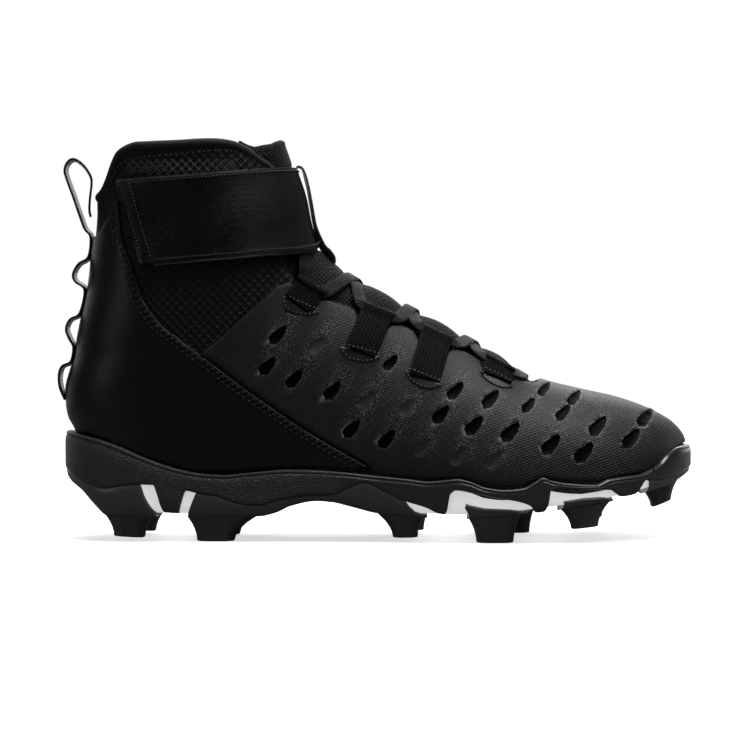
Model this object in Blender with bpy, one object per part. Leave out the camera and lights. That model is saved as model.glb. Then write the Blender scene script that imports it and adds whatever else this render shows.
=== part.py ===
"""Right shoe of a pair of high-topped American football cleats, in metres.

The shoe is built with x from the heel (0) to the toe, the outer side at -y, the
inner side at +y and the floor at z = 0. At the end the whole shoe is moved so that
the middle of its box on the floor is the origin.
"""
import math

import bmesh
import bpy
import numpy as np
from mathutils import Matrix, Vector, geometry

for old_object in list(bpy.data.objects):
    bpy.data.objects.remove(old_object)

# Driving dimensions
SHOE_LENGTH = 0.2904
COLLAR_HEIGHT = 0.1820
SOLE_HEIGHT = 0.0495
FOOTBED_HEIGHT = SOLE_HEIGHT * 0.485
STUD_HEIGHT = SOLE_HEIGHT * 0.2222
BALL_WIDTH = 0.0960
HEEL_WIDTH = 0.0700
SHAFT_WIDTH = 0.0640
WALL = 0.0024
PANEL_THICKNESS = 0.0009
TONGUE_THICKNESS = 0.0035
INSOLE_THICKNESS = 0.0040
RUBBER = 0.0020
LIP = 0.0050
SKIN = 0.0018
STRAP_THICKNESS = 0.0022
WEBBING = 0.0011
LACE_WIDTH = 0.0068
LACE_THICKNESS = 0.0014
TAPE_WIDTH = 0.0090
TAPE_THICKNESS = 0.0008
CLEARANCE = 0.0003
FLAT_ENOUGH = math.radians(1.7)
PAST_THE_SHOE = 0.02

COLLAR_RISE = 0.0175
HEEL_ROUNDING = 0.0350
TOE_ROUNDING = 0.0600

# The last, toe to collar. Each section is a plane across the shoe from a point on
# the ridge to a point on the feather line or, from the heel corner on, on the heel's
# back. Lengths along the shoe are shares of SHOE_LENGTH, heights are shares of the
# height from the footbed to the collar.
# ridge_along, ridge_up, foot_along, back_up, ridge_depth, roundness, collar_bend
LAST_SECTIONS = (
    (0.9845, 0.0510, 0.9845, None, 0.96, 2.00, 0.0),
    (0.9897, 0.0950, 0.9680, None, 0.95, 2.00, 0.0),
    (0.9855, 0.1340, 0.9450, None, 0.93, 2.05, 0.0),
    (0.9690, 0.1740, 0.9170, None, 0.90, 2.15, 0.0),
    (0.9359, 0.2114, 0.8830, None, 0.88, 2.20, 0.0),
    (0.8793, 0.2506, 0.8280, None, 0.87, 2.20, 0.0),
    (0.8138, 0.2778, 0.7660, None, 0.87, 2.15, 0.0),
    (0.7552, 0.3060, 0.7000, None, 0.87, 2.05, 0.0),
    (0.6793, 0.3848, 0.6140, None, 0.82, 1.95, 0.0),
    (0.5966, 0.4684, 0.5170, None, 0.74, 1.90, 0.0),
    (0.5172, 0.5443, 0.3970, None, 0.62, 1.90, 0.0),
    (0.4517, 0.6095, 0.2590, None, 0.47, 1.92, 0.0),
    (0.4103, 0.6677, 0.1210, None, 0.38, 1.96, 0.0),
    (0.3948, 0.7184, 0.0340, 0.0127, 0.34, 2.00, 0.0),
    (0.3862, 0.7690, None, 0.1770, 0.32, 2.00, 0.0),
    (0.3783, 0.8165, None, 0.3420, 0.33, 2.00, 0.12),
    (0.3690, 0.8671, None, 0.5060, 0.36, 2.00, 0.35),
    (0.3586, 0.9241, None, 0.6840, 0.40, 2.00, 0.65),
    (0.3466, 0.9873, None, 0.8420, 0.45, 2.00, 1.0),
)
HEEL_CORNER = 13
TOP_SECTION = len(LAST_SECTIONS) - 1

# Heel's back line: height share, place along the shoe
HEEL_BACK = (
    (0.0127, 0.0340), (0.06, 0.0235), (0.10, 0.0190), (0.165, 0.0170), (0.205, 0.0085),
    (0.24, 0.0055), (0.28, 0.0046), (0.33, 0.0105), (0.377, 0.0195), (0.43, 0.0229),
    (0.478, 0.0281), (0.53, 0.0350), (0.604, 0.0419), (0.68, 0.0460), (0.755, 0.0502),
    (0.80, 0.0515), (0.842, 0.0509),
)
# The foremost line of the toe: height share, place along the shoe
TOE_FRONT = ((0.051, 0.9845), (0.095, 0.9897), (0.134, 0.9870), (0.174, 0.9860), (0.2114, 0.9800))
# Shape of the collar edge from its front to its back: share of the way, rise
COLLAR_EDGE = (
    (0.0, 0.0), (0.06, -0.16), (0.11, -0.16), (0.17, 0.06), (0.25, 0.33), (0.35, 0.52),
    (0.56, 0.75), (0.71, 0.92), (0.79, 1.0), (0.83, 0.98), (0.865, 0.92), (0.90, 0.65),
    (0.925, 0.38), (0.95, 0.16), (0.98, 0.03), (1.0, 0.0),
)
# Edge of the throat on either side of the tongue: section number, share of the way
# from the ridge to the foot
THROAT_EDGE = (
    (7.0, 0.0), (7.12, 0.100), (7.3, 0.142), (7.6, 0.158), (8.5, 0.166), (9.6, 0.186),
    (10.9, 0.206), (12.0, 0.220), (12.7, 0.222), (14.0, 0.170), (15.5, 0.135), (16.5, 0.128),
    (17.3, 0.142), (18.0, 0.180),
)

# Feather line, where the upper meets the sole: place along, height by FOOTBED_HEIGHT
FEATHER = (
    (0.0, 1.08), (0.1, 1.0), (0.2, 0.96), (0.31, 1.02), (0.40, 1.10), (0.48, 1.0),
    (0.575, 0.83), (0.655, 0.77), (0.73, 0.81), (0.83, 0.94), (0.914, 1.13), (1.0, 1.38),
)
# Sole outline: place along, half width by HEEL_WIDTH and by BALL_WIDTH, and the
# middle's shift to the inner side by BALL_WIDTH
OUTLINE = (
    (0.0, 0.50, 0.0, 0.0), (0.21, 0.50, 0.0, -0.008), (0.345, 0.34, 0.095, -0.030),
    (0.448, 0.20, 0.200, -0.042), (0.552, 0.10, 0.325, -0.036), (0.655, 0.0, 0.475, -0.020),
    (0.74, 0.0, 0.50, -0.005), (0.82, 0.0, 0.50, 0.015), (0.89, 0.0, 0.49, 0.045),
    (0.95, 0.0, 0.49, 0.085), (1.0, 0.0, 0.49, 0.130),
)
# Top edge of the sole's side: place along, height by SOLE_HEIGHT
SIDE_TOP = (
    (0.0, 1.0), (0.027, 0.970), (0.055, 0.933), (0.092, 0.860), (0.126, 0.776),
    (0.159, 0.705), (0.192, 0.652), (0.224, 0.622), (0.255, 0.612), (0.282, 0.625),
    (0.317, 0.645), (0.357, 0.660), (0.39, 0.657), (0.44, 0.640), (0.49, 0.610),
    (0.545, 0.580), (0.575, 0.560), (0.605, 0.575), (0.622, 0.585), (0.641, 0.565),
    (0.665, 0.511), (0.695, 0.489), (0.725, 0.505), (0.745, 0.565), (0.756, 0.600),
    (0.768, 0.575), (0.80, 0.545), (0.84, 0.535), (0.86, 0.580), (0.885, 0.600),
    (0.91, 0.615), (0.93, 0.655), (0.945, 0.705), (0.962, 0.795), (0.981, 0.855),
    (1.0, 0.865),
)
# Lower edge of the black side band, with its claws: place along, by SOLE_HEIGHT
BAND_EDGE = (
    (0.0, 0.655), (0.031, 0.570), (0.049, 0.515), (0.067, 0.492), (0.086, 0.503),
    (0.109, 0.525), (0.146, 0.520), (0.152, 0.440), (0.162, 0.270), (0.182, 0.262),
    (0.186, 0.310), (0.196, 0.468), (0.215, 0.445), (0.242, 0.424), (0.267, 0.374),
    (0.292, 0.337), (0.312, 0.333), (0.337, 0.374), (0.367, 0.410), (0.391, 0.428),
    (0.417, 0.428), (0.431, 0.438), (0.454, 0.501), (0.476, 0.547), (0.509, 0.465),
    (0.540, 0.380), (0.572, 0.323), (0.593, 0.270), (0.602, 0.262), (0.6055, 0.300),
    (0.6095, 0.440), (0.6225, 0.485), (0.645, 0.463), (0.685, 0.412), (0.716, 0.382),
    (0.734, 0.347), (0.742, 0.311), (0.748, 0.282), (0.758, 0.290), (0.762, 0.340),
    (0.766, 0.495), (0.780, 0.515), (0.822, 0.491), (0.862, 0.481), (0.871, 0.448),
    (0.882, 0.420), (0.903, 0.440), (0.910, 0.500), (0.918, 0.560), (0.935, 0.560),
    (1.0, 0.66),
)
# Top of the white plate, hidden behind the band: place along, by SOLE_HEIGHT
RABBET = (
    (0.0, 0.70), (0.067, 0.60), (0.13, 0.585), (0.19, 0.560), (0.25, 0.560), (0.30, 0.570),
    (0.40, 0.590), (0.476, 0.578), (0.52, 0.500), (0.575, 0.455), (0.60, 0.470),
    (0.6225, 0.510), (0.66, 0.475), (0.695, 0.445), (0.725, 0.450), (0.745, 0.500),
    (0.765, 0.535), (0.80, 0.515), (0.84, 0.510), (0.87, 0.525), (0.91, 0.565),
    (0.935, 0.600), (1.0, 0.700),
)
# Underside of the sole plate: place along, height by STUD_HEIGHT
UNDERSIDE = (
    (0.0, 2.60), (0.007, 2.42), (0.028, 2.04), (0.05, 1.45), (0.070, 1.04), (0.15, 1.02),
    (0.20, 1.0), (0.31, 1.05), (0.336, 1.20), (0.36, 1.48), (0.40, 1.68), (0.424, 1.64),
    (0.454, 1.46), (0.50, 1.18), (0.576, 1.03), (0.64, 1.0), (0.727, 1.20), (0.78, 1.37),
    (0.864, 1.69), (0.912, 1.96), (0.976, 2.43), (1.0, 2.75),
)


def smooth_curve(rows, column=1):
    """Reads one column of a table against its first, as a curve with no overshoot."""
    x = np.array([row[0] for row in rows], float)
    y = np.array([row[column] for row in rows], float)
    gap = np.diff(x)
    slope = np.diff(y) / gap
    tangent = np.zeros_like(y)
    tangent[0], tangent[-1] = slope[0], slope[-1]
    same_way = slope[:-1] * slope[1:] > 0
    safe_a = np.where(same_way, slope[:-1], 1.0)
    safe_b = np.where(same_way, slope[1:], 1.0)
    weight_a = 2 * gap[1:] + gap[:-1]
    weight_b = gap[1:] + 2 * gap[:-1]
    mean = (weight_a + weight_b) / (weight_a / safe_a + weight_b / safe_b)
    tangent[1:-1] = np.where(same_way, mean, 0.0)

    def at(place):
        place = np.clip(np.asarray(place, float), x[0], x[-1])
        i = np.clip(np.searchsorted(x, place, side="right") - 1, 0, len(gap) - 1)
        t = (place - x[i]) / gap[i]
        return (
            y[i] * (1 + 2 * t) * (1 - t) ** 2
            + tangent[i] * gap[i] * t * (1 - t) ** 2
            + y[i + 1] * t * t * (3 - 2 * t)
            + tangent[i + 1] * gap[i] * t * t * (t - 1)
        )

    return at


def eased(value):
    """0 below 0, 1 above 1, and smooth between."""
    value = np.clip(value, 0.0, 1.0)
    return value * value * (3 - 2 * value)


def rounded(share, power=2.0):
    """A superellipse's half width, from 0 at its end to 1 at its middle."""
    share = np.clip(share, 0.0, 1.0)
    return (1 - (1 - share) ** power) ** (1 / power)


def section_column(column):
    rows = [(i, row[column]) for i, row in enumerate(LAST_SECTIONS) if row[column] is not None]
    return smooth_curve(rows)


ridge_along, ridge_up, foot_along, back_up, ridge_depth, roundness, collar_bend = (
    section_column(column) for column in range(7)
)
heel_back_along = smooth_curve(HEEL_BACK)
toe_front_along = smooth_curve(TOE_FRONT)
collar_edge = smooth_curve(COLLAR_EDGE)
throat_edge = smooth_curve(THROAT_EDGE)
feather_share = smooth_curve(FEATHER)
half_by_heel, half_by_ball, middle_share = (smooth_curve(OUTLINE, c) for c in (1, 2, 3))
side_top_share = smooth_curve(SIDE_TOP)
band_edge_share = smooth_curve(BAND_EDGE)
rabbet_share = smooth_curve(RABBET)
underside_share = smooth_curve(UNDERSIDE)


def height(share):
    """A height on the upper, from its share of the way from footbed to collar."""
    return FOOTBED_HEIGHT + share * (COLLAR_HEIGHT - FOOTBED_HEIGHT)


def height_share(z):
    return (z - FOOTBED_HEIGHT) / (COLLAR_HEIGHT - FOOTBED_HEIGHT)


def feather_height(x):
    return feather_share(x / SHOE_LENGTH) * FOOTBED_HEIGHT


def side_top(x):
    return side_top_share(x / SHOE_LENGTH) * SOLE_HEIGHT


def heel_back(z):
    return heel_back_along(height_share(z)) * SHOE_LENGTH


def sole_half_width(share):
    return half_by_heel(share) * HEEL_WIDTH + half_by_ball(share) * BALL_WIDTH


def last_point(section, turn):
    """A point on the last. turn is -1 at the outer foot edge, 0 on the ridge, 1 at
    the inner foot edge."""
    section, turn = np.broadcast_arrays(np.asarray(section, float), np.asarray(turn, float))
    way = (1 - np.cos(np.pi * np.abs(turn))) / 2
    top_x = ridge_along(section) * SHOE_LENGTH
    top_z = height(ridge_up(section))
    low_x = foot_along(section) * SHOE_LENGTH
    low_z = feather_height(low_x)
    back_z = height(back_up(section))
    behind = section > HEEL_CORNER
    tip = section < 1e-9
    low_z = np.where(behind, back_z, low_z)
    low_x = np.where(behind, heel_back(back_z), low_x)
    x = top_x + (low_x - top_x) * way
    z = top_z + (low_z - top_z) * way
    x = np.where(tip, top_x, x)
    z = np.where(tip, top_z, z)
    z = z + collar_bend(section) * COLLAR_RISE * collar_edge(way)
    ankle = eased((height_share(z) - 0.16) / 0.44)
    half = sole_half_width(x / SHOE_LENGTH) - LIP
    tuck = 1 - 0.05 * eased((way - 0.82) / 0.18) * (1 - eased((section - 10) / 2))
    half = (half + (SHAFT_WIDTH / 2 - half) * ankle) * tuck
    toe_room = toe_front_along(height_share(z)) * SHOE_LENGTH - x
    half = half * rounded(toe_room / TOE_ROUNDING)
    blunt = eased((section - 0.5) / 2.6)
    half = half * rounded(way / ridge_depth(section), roundness(section)) ** blunt
    half = half * rounded((x - heel_back(z)) / HEEL_ROUNDING)
    half = np.where(tip | (behind & (way > 1 - 1e-9)), 0.0, half)
    middle = middle_share(x / SHOE_LENGTH) * BALL_WIDTH * (1 - ankle)
    return np.stack([x, middle + np.sign(turn) * half, z], axis=-1)


def last_normal(section, turn):
    """The direction out of the last at a point on it."""
    section, turn = np.broadcast_arrays(np.asarray(section, float), np.asarray(turn, float))
    step = 2e-3
    at = np.maximum(section, 0.03)

    def around(value):
        wrapped = np.where(np.abs(value) > 1, value - 2 * np.sign(value), value)
        return np.where(at >= HEEL_CORNER, wrapped, np.clip(value, -1, 1))

    along = last_point(np.minimum(at + step, TOP_SECTION), turn)
    along = along - last_point(np.maximum(at - step, 0), turn)
    across = last_point(at, around(turn + step)) - last_point(at, around(turn - step))
    normal = np.cross(across, along)
    normal = normal / np.maximum(np.linalg.norm(normal, axis=-1, keepdims=True), 1e-12)
    return np.where((section < 1e-6)[..., None], np.array([1.0, 0.0, 0.0]), normal)


def off_last(section, turn, offset):
    offset = np.asarray(offset, float)
    return last_point(section, turn) + last_normal(section, turn) * offset[..., None]


def turn_of(way):
    """The turn whose point lies at this share of the way from ridge to foot."""
    return np.arccos(np.clip(1 - 2 * np.asarray(way, float), -1, 1)) / np.pi


def locate(x, z):
    """The section and turn of the last whose point shows at x, z from the side."""
    x, z = np.broadcast_arrays(np.asarray(x, float), np.asarray(z, float))
    shape = x.shape
    x, z = x.ravel(), z.ravel()
    sections = np.linspace(0, TOP_SECTION, 181)
    ways = np.linspace(0, 1, 41)
    net = last_point(*np.meshgrid(sections, turn_of(ways), indexing="ij"))
    net_x, net_z = net[..., 0].ravel(), net[..., 2].ravel()
    nearest = np.argmin((net_x[None] - x[:, None]) ** 2 + (net_z[None] - z[:, None]) ** 2, axis=1)
    section, way = sections[nearest // len(ways)], ways[nearest % len(ways)]
    for _ in range(12):
        here = last_point(section, turn_of(way))
        step_s = np.where(section > TOP_SECTION - 0.01, -1e-3, 1e-3)
        step_w = np.where(way > 0.99, -1e-3, 1e-3)
        by_s = (last_point(section + step_s, turn_of(way)) - here) / step_s[:, None]
        by_w = (last_point(section, turn_of(way + step_w)) - here) / step_w[:, None]
        miss_x, miss_z = x - here[:, 0], z - here[:, 2]
        area = by_s[:, 0] * by_w[:, 2] - by_s[:, 2] * by_w[:, 0]
        area = np.where(np.abs(area) < 1e-9, 1e-9, area)
        move_s = (miss_x * by_w[:, 2] - miss_z * by_w[:, 0]) / area
        move_w = (by_s[:, 0] * miss_z - by_s[:, 2] * miss_x) / area
        section = np.clip(section + np.clip(move_s, -0.5, 0.5), 0, TOP_SECTION)
        way = np.clip(way + np.clip(move_w, -0.1, 0.1), 0, 1)
    return section.reshape(shape), turn_of(way).reshape(shape)


UPPER_ROWS = (
    0.0, 0.5, 1.0, 1.5, 2.0, 2.5, 3.0, 4.0, 5.0, 6.0, 7.0, 7.2, 7.5, 8.0, 9.0, 10.0, 11.0,
    12.0, 12.5, 12.8, 12.94, 13.0, 13.3, 13.6, 14.0, 14.6, 15.2, 16.0, 17.0, 18.0,
)
UPPER_COLUMNS = 11


def side_turns(section):
    """Turns from the throat's edge to the foot or heel, closer at both ends."""
    even = np.arange(UPPER_COLUMNS + 1) / UPPER_COLUMNS
    share = even - 0.4 * np.sin(2 * np.pi * even) / (2 * np.pi)
    start = float(throat_edge(section))
    return start + (1 - start) * share


class Surface:
    """Vertices and faces, with equal points made one and empty faces left out."""

    def __init__(self):
        self.points = []
        self.faces = []
        self.known = {}

    def point(self, place):
        key = tuple(int(round(v * 1e6)) for v in place)
        if key not in self.known:
            self.known[key] = len(self.points)
            self.points.append(tuple(float(v) for v in place))
        return self.known[key]

    def face(self, corners):
        corners = [c for i, c in enumerate(corners) if c != corners[i - 1]]
        if len(set(corners)) > 2:
            self.faces.append(corners)

    def strip(self, first, second):
        for i in range(len(first) - 1):
            self.face([first[i], first[i + 1], second[i + 1], second[i]])


def add_object(name, surface, material=None):
    """A mesh object of the surface, its faces turned outwards."""
    mesh = bpy.data.meshes.new(name)
    mesh.from_pydata(surface.points, [], surface.faces)
    shape = bmesh.new()
    shape.from_mesh(mesh)
    bmesh.ops.recalc_face_normals(shape, faces=shape.faces)
    bmesh.ops.triangulate(shape, faces=shape.faces)
    if shape.calc_volume(signed=True) < 0:
        bmesh.ops.reverse_faces(shape, faces=shape.faces)
    shape.to_mesh(mesh)
    shape.free()
    mesh.update()
    made = bpy.data.objects.new(name, mesh)
    bpy.context.scene.collection.objects.link(made)
    if material is not None:
        mesh.materials.append(material)
    return made


def combine(target, other, operation):
    """Joins a second body to the target, or cuts with it, and removes it."""
    other.hide_render = True
    other.display_type = "WIRE"
    modifier = target.modifiers.new(operation, "BOOLEAN")
    modifier.operation = operation
    modifier.solver = "EXACT"
    modifier.object = other
    graph = bpy.context.evaluated_depsgraph_get()
    result = bpy.data.meshes.new_from_object(target.evaluated_get(graph))
    target.modifiers.remove(modifier)
    shape = bmesh.new()
    shape.from_mesh(result)
    bmesh.ops.dissolve_limit(
        shape, angle_limit=FLAT_ENOUGH, verts=shape.verts, edges=shape.edges
    )
    bmesh.ops.triangulate(shape, faces=shape.faces)
    shape.to_mesh(result)
    shape.free()
    target.data = result
    bpy.data.objects.remove(other)


def material(name, colour, roughness):
    made = bpy.data.materials.new(name)
    made.use_nodes = True
    shader = made.node_tree.nodes["Principled BSDF"]
    shader.inputs["Base Color"].default_value = (*colour, 1.0)
    shader.inputs["Roughness"].default_value = roughness
    return made


def shell(name, rows, columns, inner, outer, made_of):
    """A closed shell on both sides of the last. Each row is the (section, turn) of its
    top end and of its low end on one side; rows that reach the ridge or the heel's
    back join there."""
    surface = Surface()
    even = np.arange(columns + 1) / columns
    share = even - 0.4 * np.sin(2 * np.pi * even) / (2 * np.pi)
    for side in (-1, 1):
        grids = []
        for offset in (inner, outer):
            grid = []
            for top, low in rows:
                section = top[0] + (low[0] - top[0]) * share
                turn = (top[1] + (low[1] - top[1]) * share) * side
                at_back = (np.abs(turn) > 1 - 1e-9) & (section > HEEL_CORNER - 1e-9)
                turn = np.where(at_back, 1.0, turn)
                places = off_last(section, turn, np.full(columns + 1, offset))
                grid.append([surface.point(place) for place in places])
            grids.append(grid)
        deep, out = grids
        for i in range(len(rows) - 1):
            surface.strip(out[i], out[i + 1])
            surface.strip(deep[i], deep[i + 1])
            tops = rows[i][0], rows[i + 1][0]
            lows = rows[i][1], rows[i + 1][1]
            if max(tops[0][1], tops[1][1]) > 0:
                surface.strip([out[i][0], out[i + 1][0]], [deep[i][0], deep[i + 1][0]])
            behind = min(lows[0][0], lows[1][0]) > HEEL_CORNER - 1e-9
            if not (behind and min(lows[0][1], lows[1][1]) > 1 - 1e-9):
                surface.strip([out[i][-1], out[i + 1][-1]], [deep[i][-1], deep[i + 1][-1]])
        surface.strip(out[0], deep[0])
        surface.strip(out[-1], deep[-1])
    return add_object(name, surface, made_of)


def patch(name, rows, inner, outer, made_of):
    """A closed shell from a grid of (section, turn), turns signed by side."""
    surface = Surface()
    net = np.array(rows, float)
    grids = []
    for offset in (inner, outer):
        places = off_last(net[..., 0], net[..., 1], np.full(net.shape[:2], offset))
        grids.append([[surface.point(place) for place in row] for row in places])
    deep, out = grids
    for i in range(len(rows) - 1):
        surface.strip(out[i], out[i + 1])
        surface.strip(deep[i], deep[i + 1])
        surface.strip([out[i][0], out[i + 1][0]], [deep[i][0], deep[i + 1][0]])
        surface.strip([out[i][-1], out[i + 1][-1]], [deep[i][-1], deep[i + 1][-1]])
    surface.strip(out[0], deep[0])
    surface.strip(out[-1], deep[-1])
    return add_object(name, surface, made_of)


def band(name, places, normals, width, thickness, made_of):
    """A flat strip whose middle line runs through the places, lying square to the
    normals."""
    places, normals = np.array(places, float), np.array(normals, float)
    tangent = np.gradient(places, axis=0)
    across = np.cross(normals, tangent)
    across = across / np.linalg.norm(across, axis=1, keepdims=True)
    surface = Surface()
    rings = []
    for place, normal, side in zip(places, normals, across):
        half, deep = side * width / 2, normal * thickness / 2
        corners = [place + half + deep, place - half + deep, place - half - deep, place + half - deep]
        rings.append([surface.point(corner) for corner in corners])
    for first, second in zip(rings, rings[1:]):
        surface.strip(first + first[:1], second + second[:1])
    surface.face(rings[0])
    surface.face(rings[-1])
    return add_object(name, surface, made_of)


# Outline of the sole in stations from heel to toe, the same on both sides
STATIONS = (
    0.0, 0.003, 0.012, 0.026, 0.040, 0.053, 0.068, 0.088, 0.13, 0.18, 0.24, 0.30, 0.36, 0.42, 0.48,
    0.54, 0.60, 0.66, 0.72, 0.78, 0.83, 0.87, 0.905, 0.935, 0.960, 0.979, 0.992, 1.0,
)


def sole_outline(inset):
    """Places along and the two sides of the sole's outline, drawn in by an inset."""
    x = inset + np.array(STATIONS) * (SHOE_LENGTH - 2 * inset)
    half = sole_half_width(x / SHOE_LENGTH) - inset
    half = half * rounded((x - inset) / HEEL_ROUNDING)
    half = half * rounded((SHOE_LENGTH - inset - x) / TOE_ROUNDING)
    middle = middle_share(x / SHOE_LENGTH) * BALL_WIDTH
    return x, middle - half, middle + half


def sole_body(name, levels, made_of=None):
    """A body of the sole's outline. Each level is an inset and a height along x."""
    surface = Surface()
    rings = []
    for inset, level in levels:
        x, outer, inner = sole_outline(inset)
        z = level(x)
        near = [surface.point(p) for p in zip(x, outer, z)]
        far = [surface.point(p) for p in zip(x, inner, z)]
        rings.append((near, far))
    for lower, upper in zip(rings, rings[1:]):
        surface.strip(lower[0], upper[0])
        surface.strip(lower[1], upper[1])
    for near, far in (rings[0], rings[-1]):
        surface.strip(near, far)
    return add_object(name, surface, made_of)


def prism(name, outline, far_outline=None, half_width=0.05):
    """A body of a side-view outline, right across the shoe. It may end in another
    outline at the inner side."""
    surface = Surface()
    near = [surface.point((x, -half_width, z)) for x, z in outline]
    far = [surface.point((x, half_width, z)) for x, z in far_outline or outline]
    surface.face(near)
    surface.face(far)
    surface.strip(near + near[:1], far + far[:1])
    return add_object(name, surface)


def underside(x):
    return underside_share(x / SHOE_LENGTH) * STUD_HEIGHT


def band_edge(x):
    return band_edge_share(x / SHOE_LENGTH) * SOLE_HEIGHT


def rabbet(x):
    return rabbet_share(x / SHOE_LENGTH) * SOLE_HEIGHT


def share_up(share):
    """A level that lies this share of the way up the sole's side."""
    return lambda x: underside(x) + (side_top(x) - underside(x)) * share


SIDE_PROFILE = ((0.0011, 0.0), (0.0, 0.26), (0.0, 0.85), (0.0010, 1.0))


def side_body(name, deeper=0.0, made_of=None):
    return sole_body(name, [(inset + deeper, share_up(up)) for inset, up in SIDE_PROFILE], made_of)


def last_body(name, growth):
    """The closed last, grown a little, with the bottom let down by the growth."""
    surface = Surface()
    grid = []
    for section in UPPER_ROWS:
        side = side_turns(section)
        turns = np.concatenate([-side[::-1], side])
        places = off_last(np.full(len(turns), section), turns, np.full(len(turns), growth))
        if section > HEEL_CORNER - 1e-9:
            places[0] = places[-1]
        grid.append([surface.point(place) for place in places])
    floor = []
    for section, row in zip(UPPER_ROWS, grid):
        surface_row = [surface.points[row[0]], surface.points[row[-1]]]
        if section > HEEL_CORNER - 1e-9:
            break
        floor.append([surface.point((x, y, z - growth)) for x, y, z in surface_row])
    back = grid[len(floor)]
    heel = surface.points[back[0]]
    heel_low = surface.point((heel[0], 0.0, heel[2] - growth))
    floor.append([heel_low, heel_low])
    for first, second in zip(grid, grid[1:]):
        surface.strip(first, second)
    for i in range(len(floor) - 1):
        surface.strip(floor[i], floor[i + 1])
        for end in (0, -1):
            surface.strip([grid[i][end], grid[i + 1][end]], [floor[i][end], floor[i + 1][end]])
    top = grid[-1]
    for i in range(UPPER_COLUMNS):
        surface.face([top[i], top[i + 1], top[-2 - i], top[-1 - i]])
    return add_object(name, surface)


black_mesh = material("black_mesh", (0.012, 0.012, 0.013), 0.8)
black_synthetic = material("black_synthetic", (0.02, 0.02, 0.021), 0.45)
black_knit = material("black_knit", (0.016, 0.016, 0.017), 0.9)
black_webbing = material("black_webbing", (0.018, 0.018, 0.019), 0.6)
black_rubber = material("black_rubber", (0.022, 0.022, 0.023), 0.5)
black_gloss = material("black_gloss", (0.02, 0.02, 0.022), 0.25)
white_plate = material("white_plate", (0.75, 0.75, 0.75), 0.4)
grey_foam = material("grey_foam", (0.05, 0.05, 0.052), 0.9)

# Upper: one lasted bootie with its own wall
upper_rows = [((s, float(throat_edge(s))), (s, 1.0)) for s in UPPER_ROWS]
upper = shell("upper", upper_rows, UPPER_COLUMNS, -WALL, 0.0, black_mesh)

# Midsole side band: the sole's side above the claws, cut by the foot and the plate
edge_x = np.array([row[0] for row in BAND_EDGE]) * SHOE_LENGTH
behind_heel, past_toe = -PAST_THE_SHOE, SHOE_LENGTH + PAST_THE_SHOE
below_band = [(behind_heel, float(band_edge(0.0)))] + list(zip(edge_x, band_edge(edge_x)))
below_band += [(past_toe, float(band_edge(SHOE_LENGTH))), (past_toe, behind_heel)]
below_band += [(behind_heel, behind_heel)]
# Rear edge of the toe bumper: along by SHOE_LENGTH, up by SOLE_HEIGHT
BUMPER_EDGE = ((0.920, -0.2), (0.920, 0.575), (0.933, 0.665), (0.948, 0.800), (0.951, 1.5))


def side_band(name, made_of, of_bumper):
    """The side band's rear part, or its front part: the toe bumper."""
    made = side_body(name, 0.0, made_of)
    combine(made, prism("below_band", below_band), "DIFFERENCE")
    core = sole_body("core", [(SKIN, lambda x: underside(x) - 0.2 * SOLE_HEIGHT), (SKIN, rabbet)])
    combine(made, core, "DIFFERENCE")
    combine(made, last_body("foot_room", CLEARANCE), "DIFFERENCE")
    back = 0.0 if of_bumper else CLEARANCE
    front = [(x * SHOE_LENGTH - back, z * SOLE_HEIGHT) for x, z in BUMPER_EDGE]
    front += [(past_toe, 1.5 * SOLE_HEIGHT), (past_toe, -0.2 * SOLE_HEIGHT)]
    combine(made, prism("front", front), "INTERSECT" if of_bumper else "DIFFERENCE")
    return made


midsole = side_band("midsole", black_rubber, False)
toe_bumper = side_band("toe_bumper", black_gloss, True)

# Sole plate: a white tray round the foot's edge, seen between band and treads
plate_levels = [
    (SKIN + CLEARANCE + 0.0015, lambda x: underside(x) + RUBBER + 3 * CLEARANCE),
    (SKIN + CLEARANCE, lambda x: underside(x) + 2 * RUBBER),
    (SKIN + CLEARANCE, lambda x: rabbet(x) - CLEARANCE),
]
plate = sole_body("sole_plate", plate_levels, white_plate)
combine(plate, last_body("foot_room", CLEARANCE), "DIFFERENCE")

# Treads: black rubber under the plate, each with its studs. The side outline of a
# tread is: the points of its rear edge, the stretch where it follows the band, and
# the points of its front edge, along by SHOE_LENGTH and up by SOLE_HEIGHT.
TREADS = {
    "tread_heel": (
        ((-0.03, -0.1),), (-0.03, 0.124),
        ((0.130, 0.41), (0.139, 0.31), (0.149, 0.22), (0.149, -0.1)),
    ),
    "tread_shank": (
        ((0.197, -0.1), (0.197, 0.22)), (0.214, 0.540),
        ((0.547, 0.32), (0.557, 0.269), (0.575, 0.22), (0.575, -0.1)),
    ),
    "tread_forefoot": (
        ((0.637, -0.1), (0.640, 0.25), (0.632, 0.325), (0.634, 0.350)), None,
        ((0.644, 0.333), (0.664, 0.309), (0.704, 0.299), (0.727, 0.265), (0.730, -0.1)),
    ),
    "tread_front": (
        ((0.779, -0.1), (0.779, 0.30), (0.785, 0.319), (0.789, 0.374)), None,
        ((0.821, 0.402), (0.847, 0.408), (0.863, 0.376), (0.866, -0.1)),
    ),
    "tread_toe": (
        ((0.914, -0.1), (0.914, 0.440), (0.920, 0.448), (0.924, 0.480)), (0.928, 1.03),
        ((1.03, -0.1),),
    ),
}
# How far forward the inner side's end of a forefoot tread lies, rear and front, by
# SHOE_LENGTH, with its height there as a share
TREAD_SKEW = {"tread_forefoot": (0.008, 0.040, 0.90), "tread_front": (0.020, 0.021, 0.96)}
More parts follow.
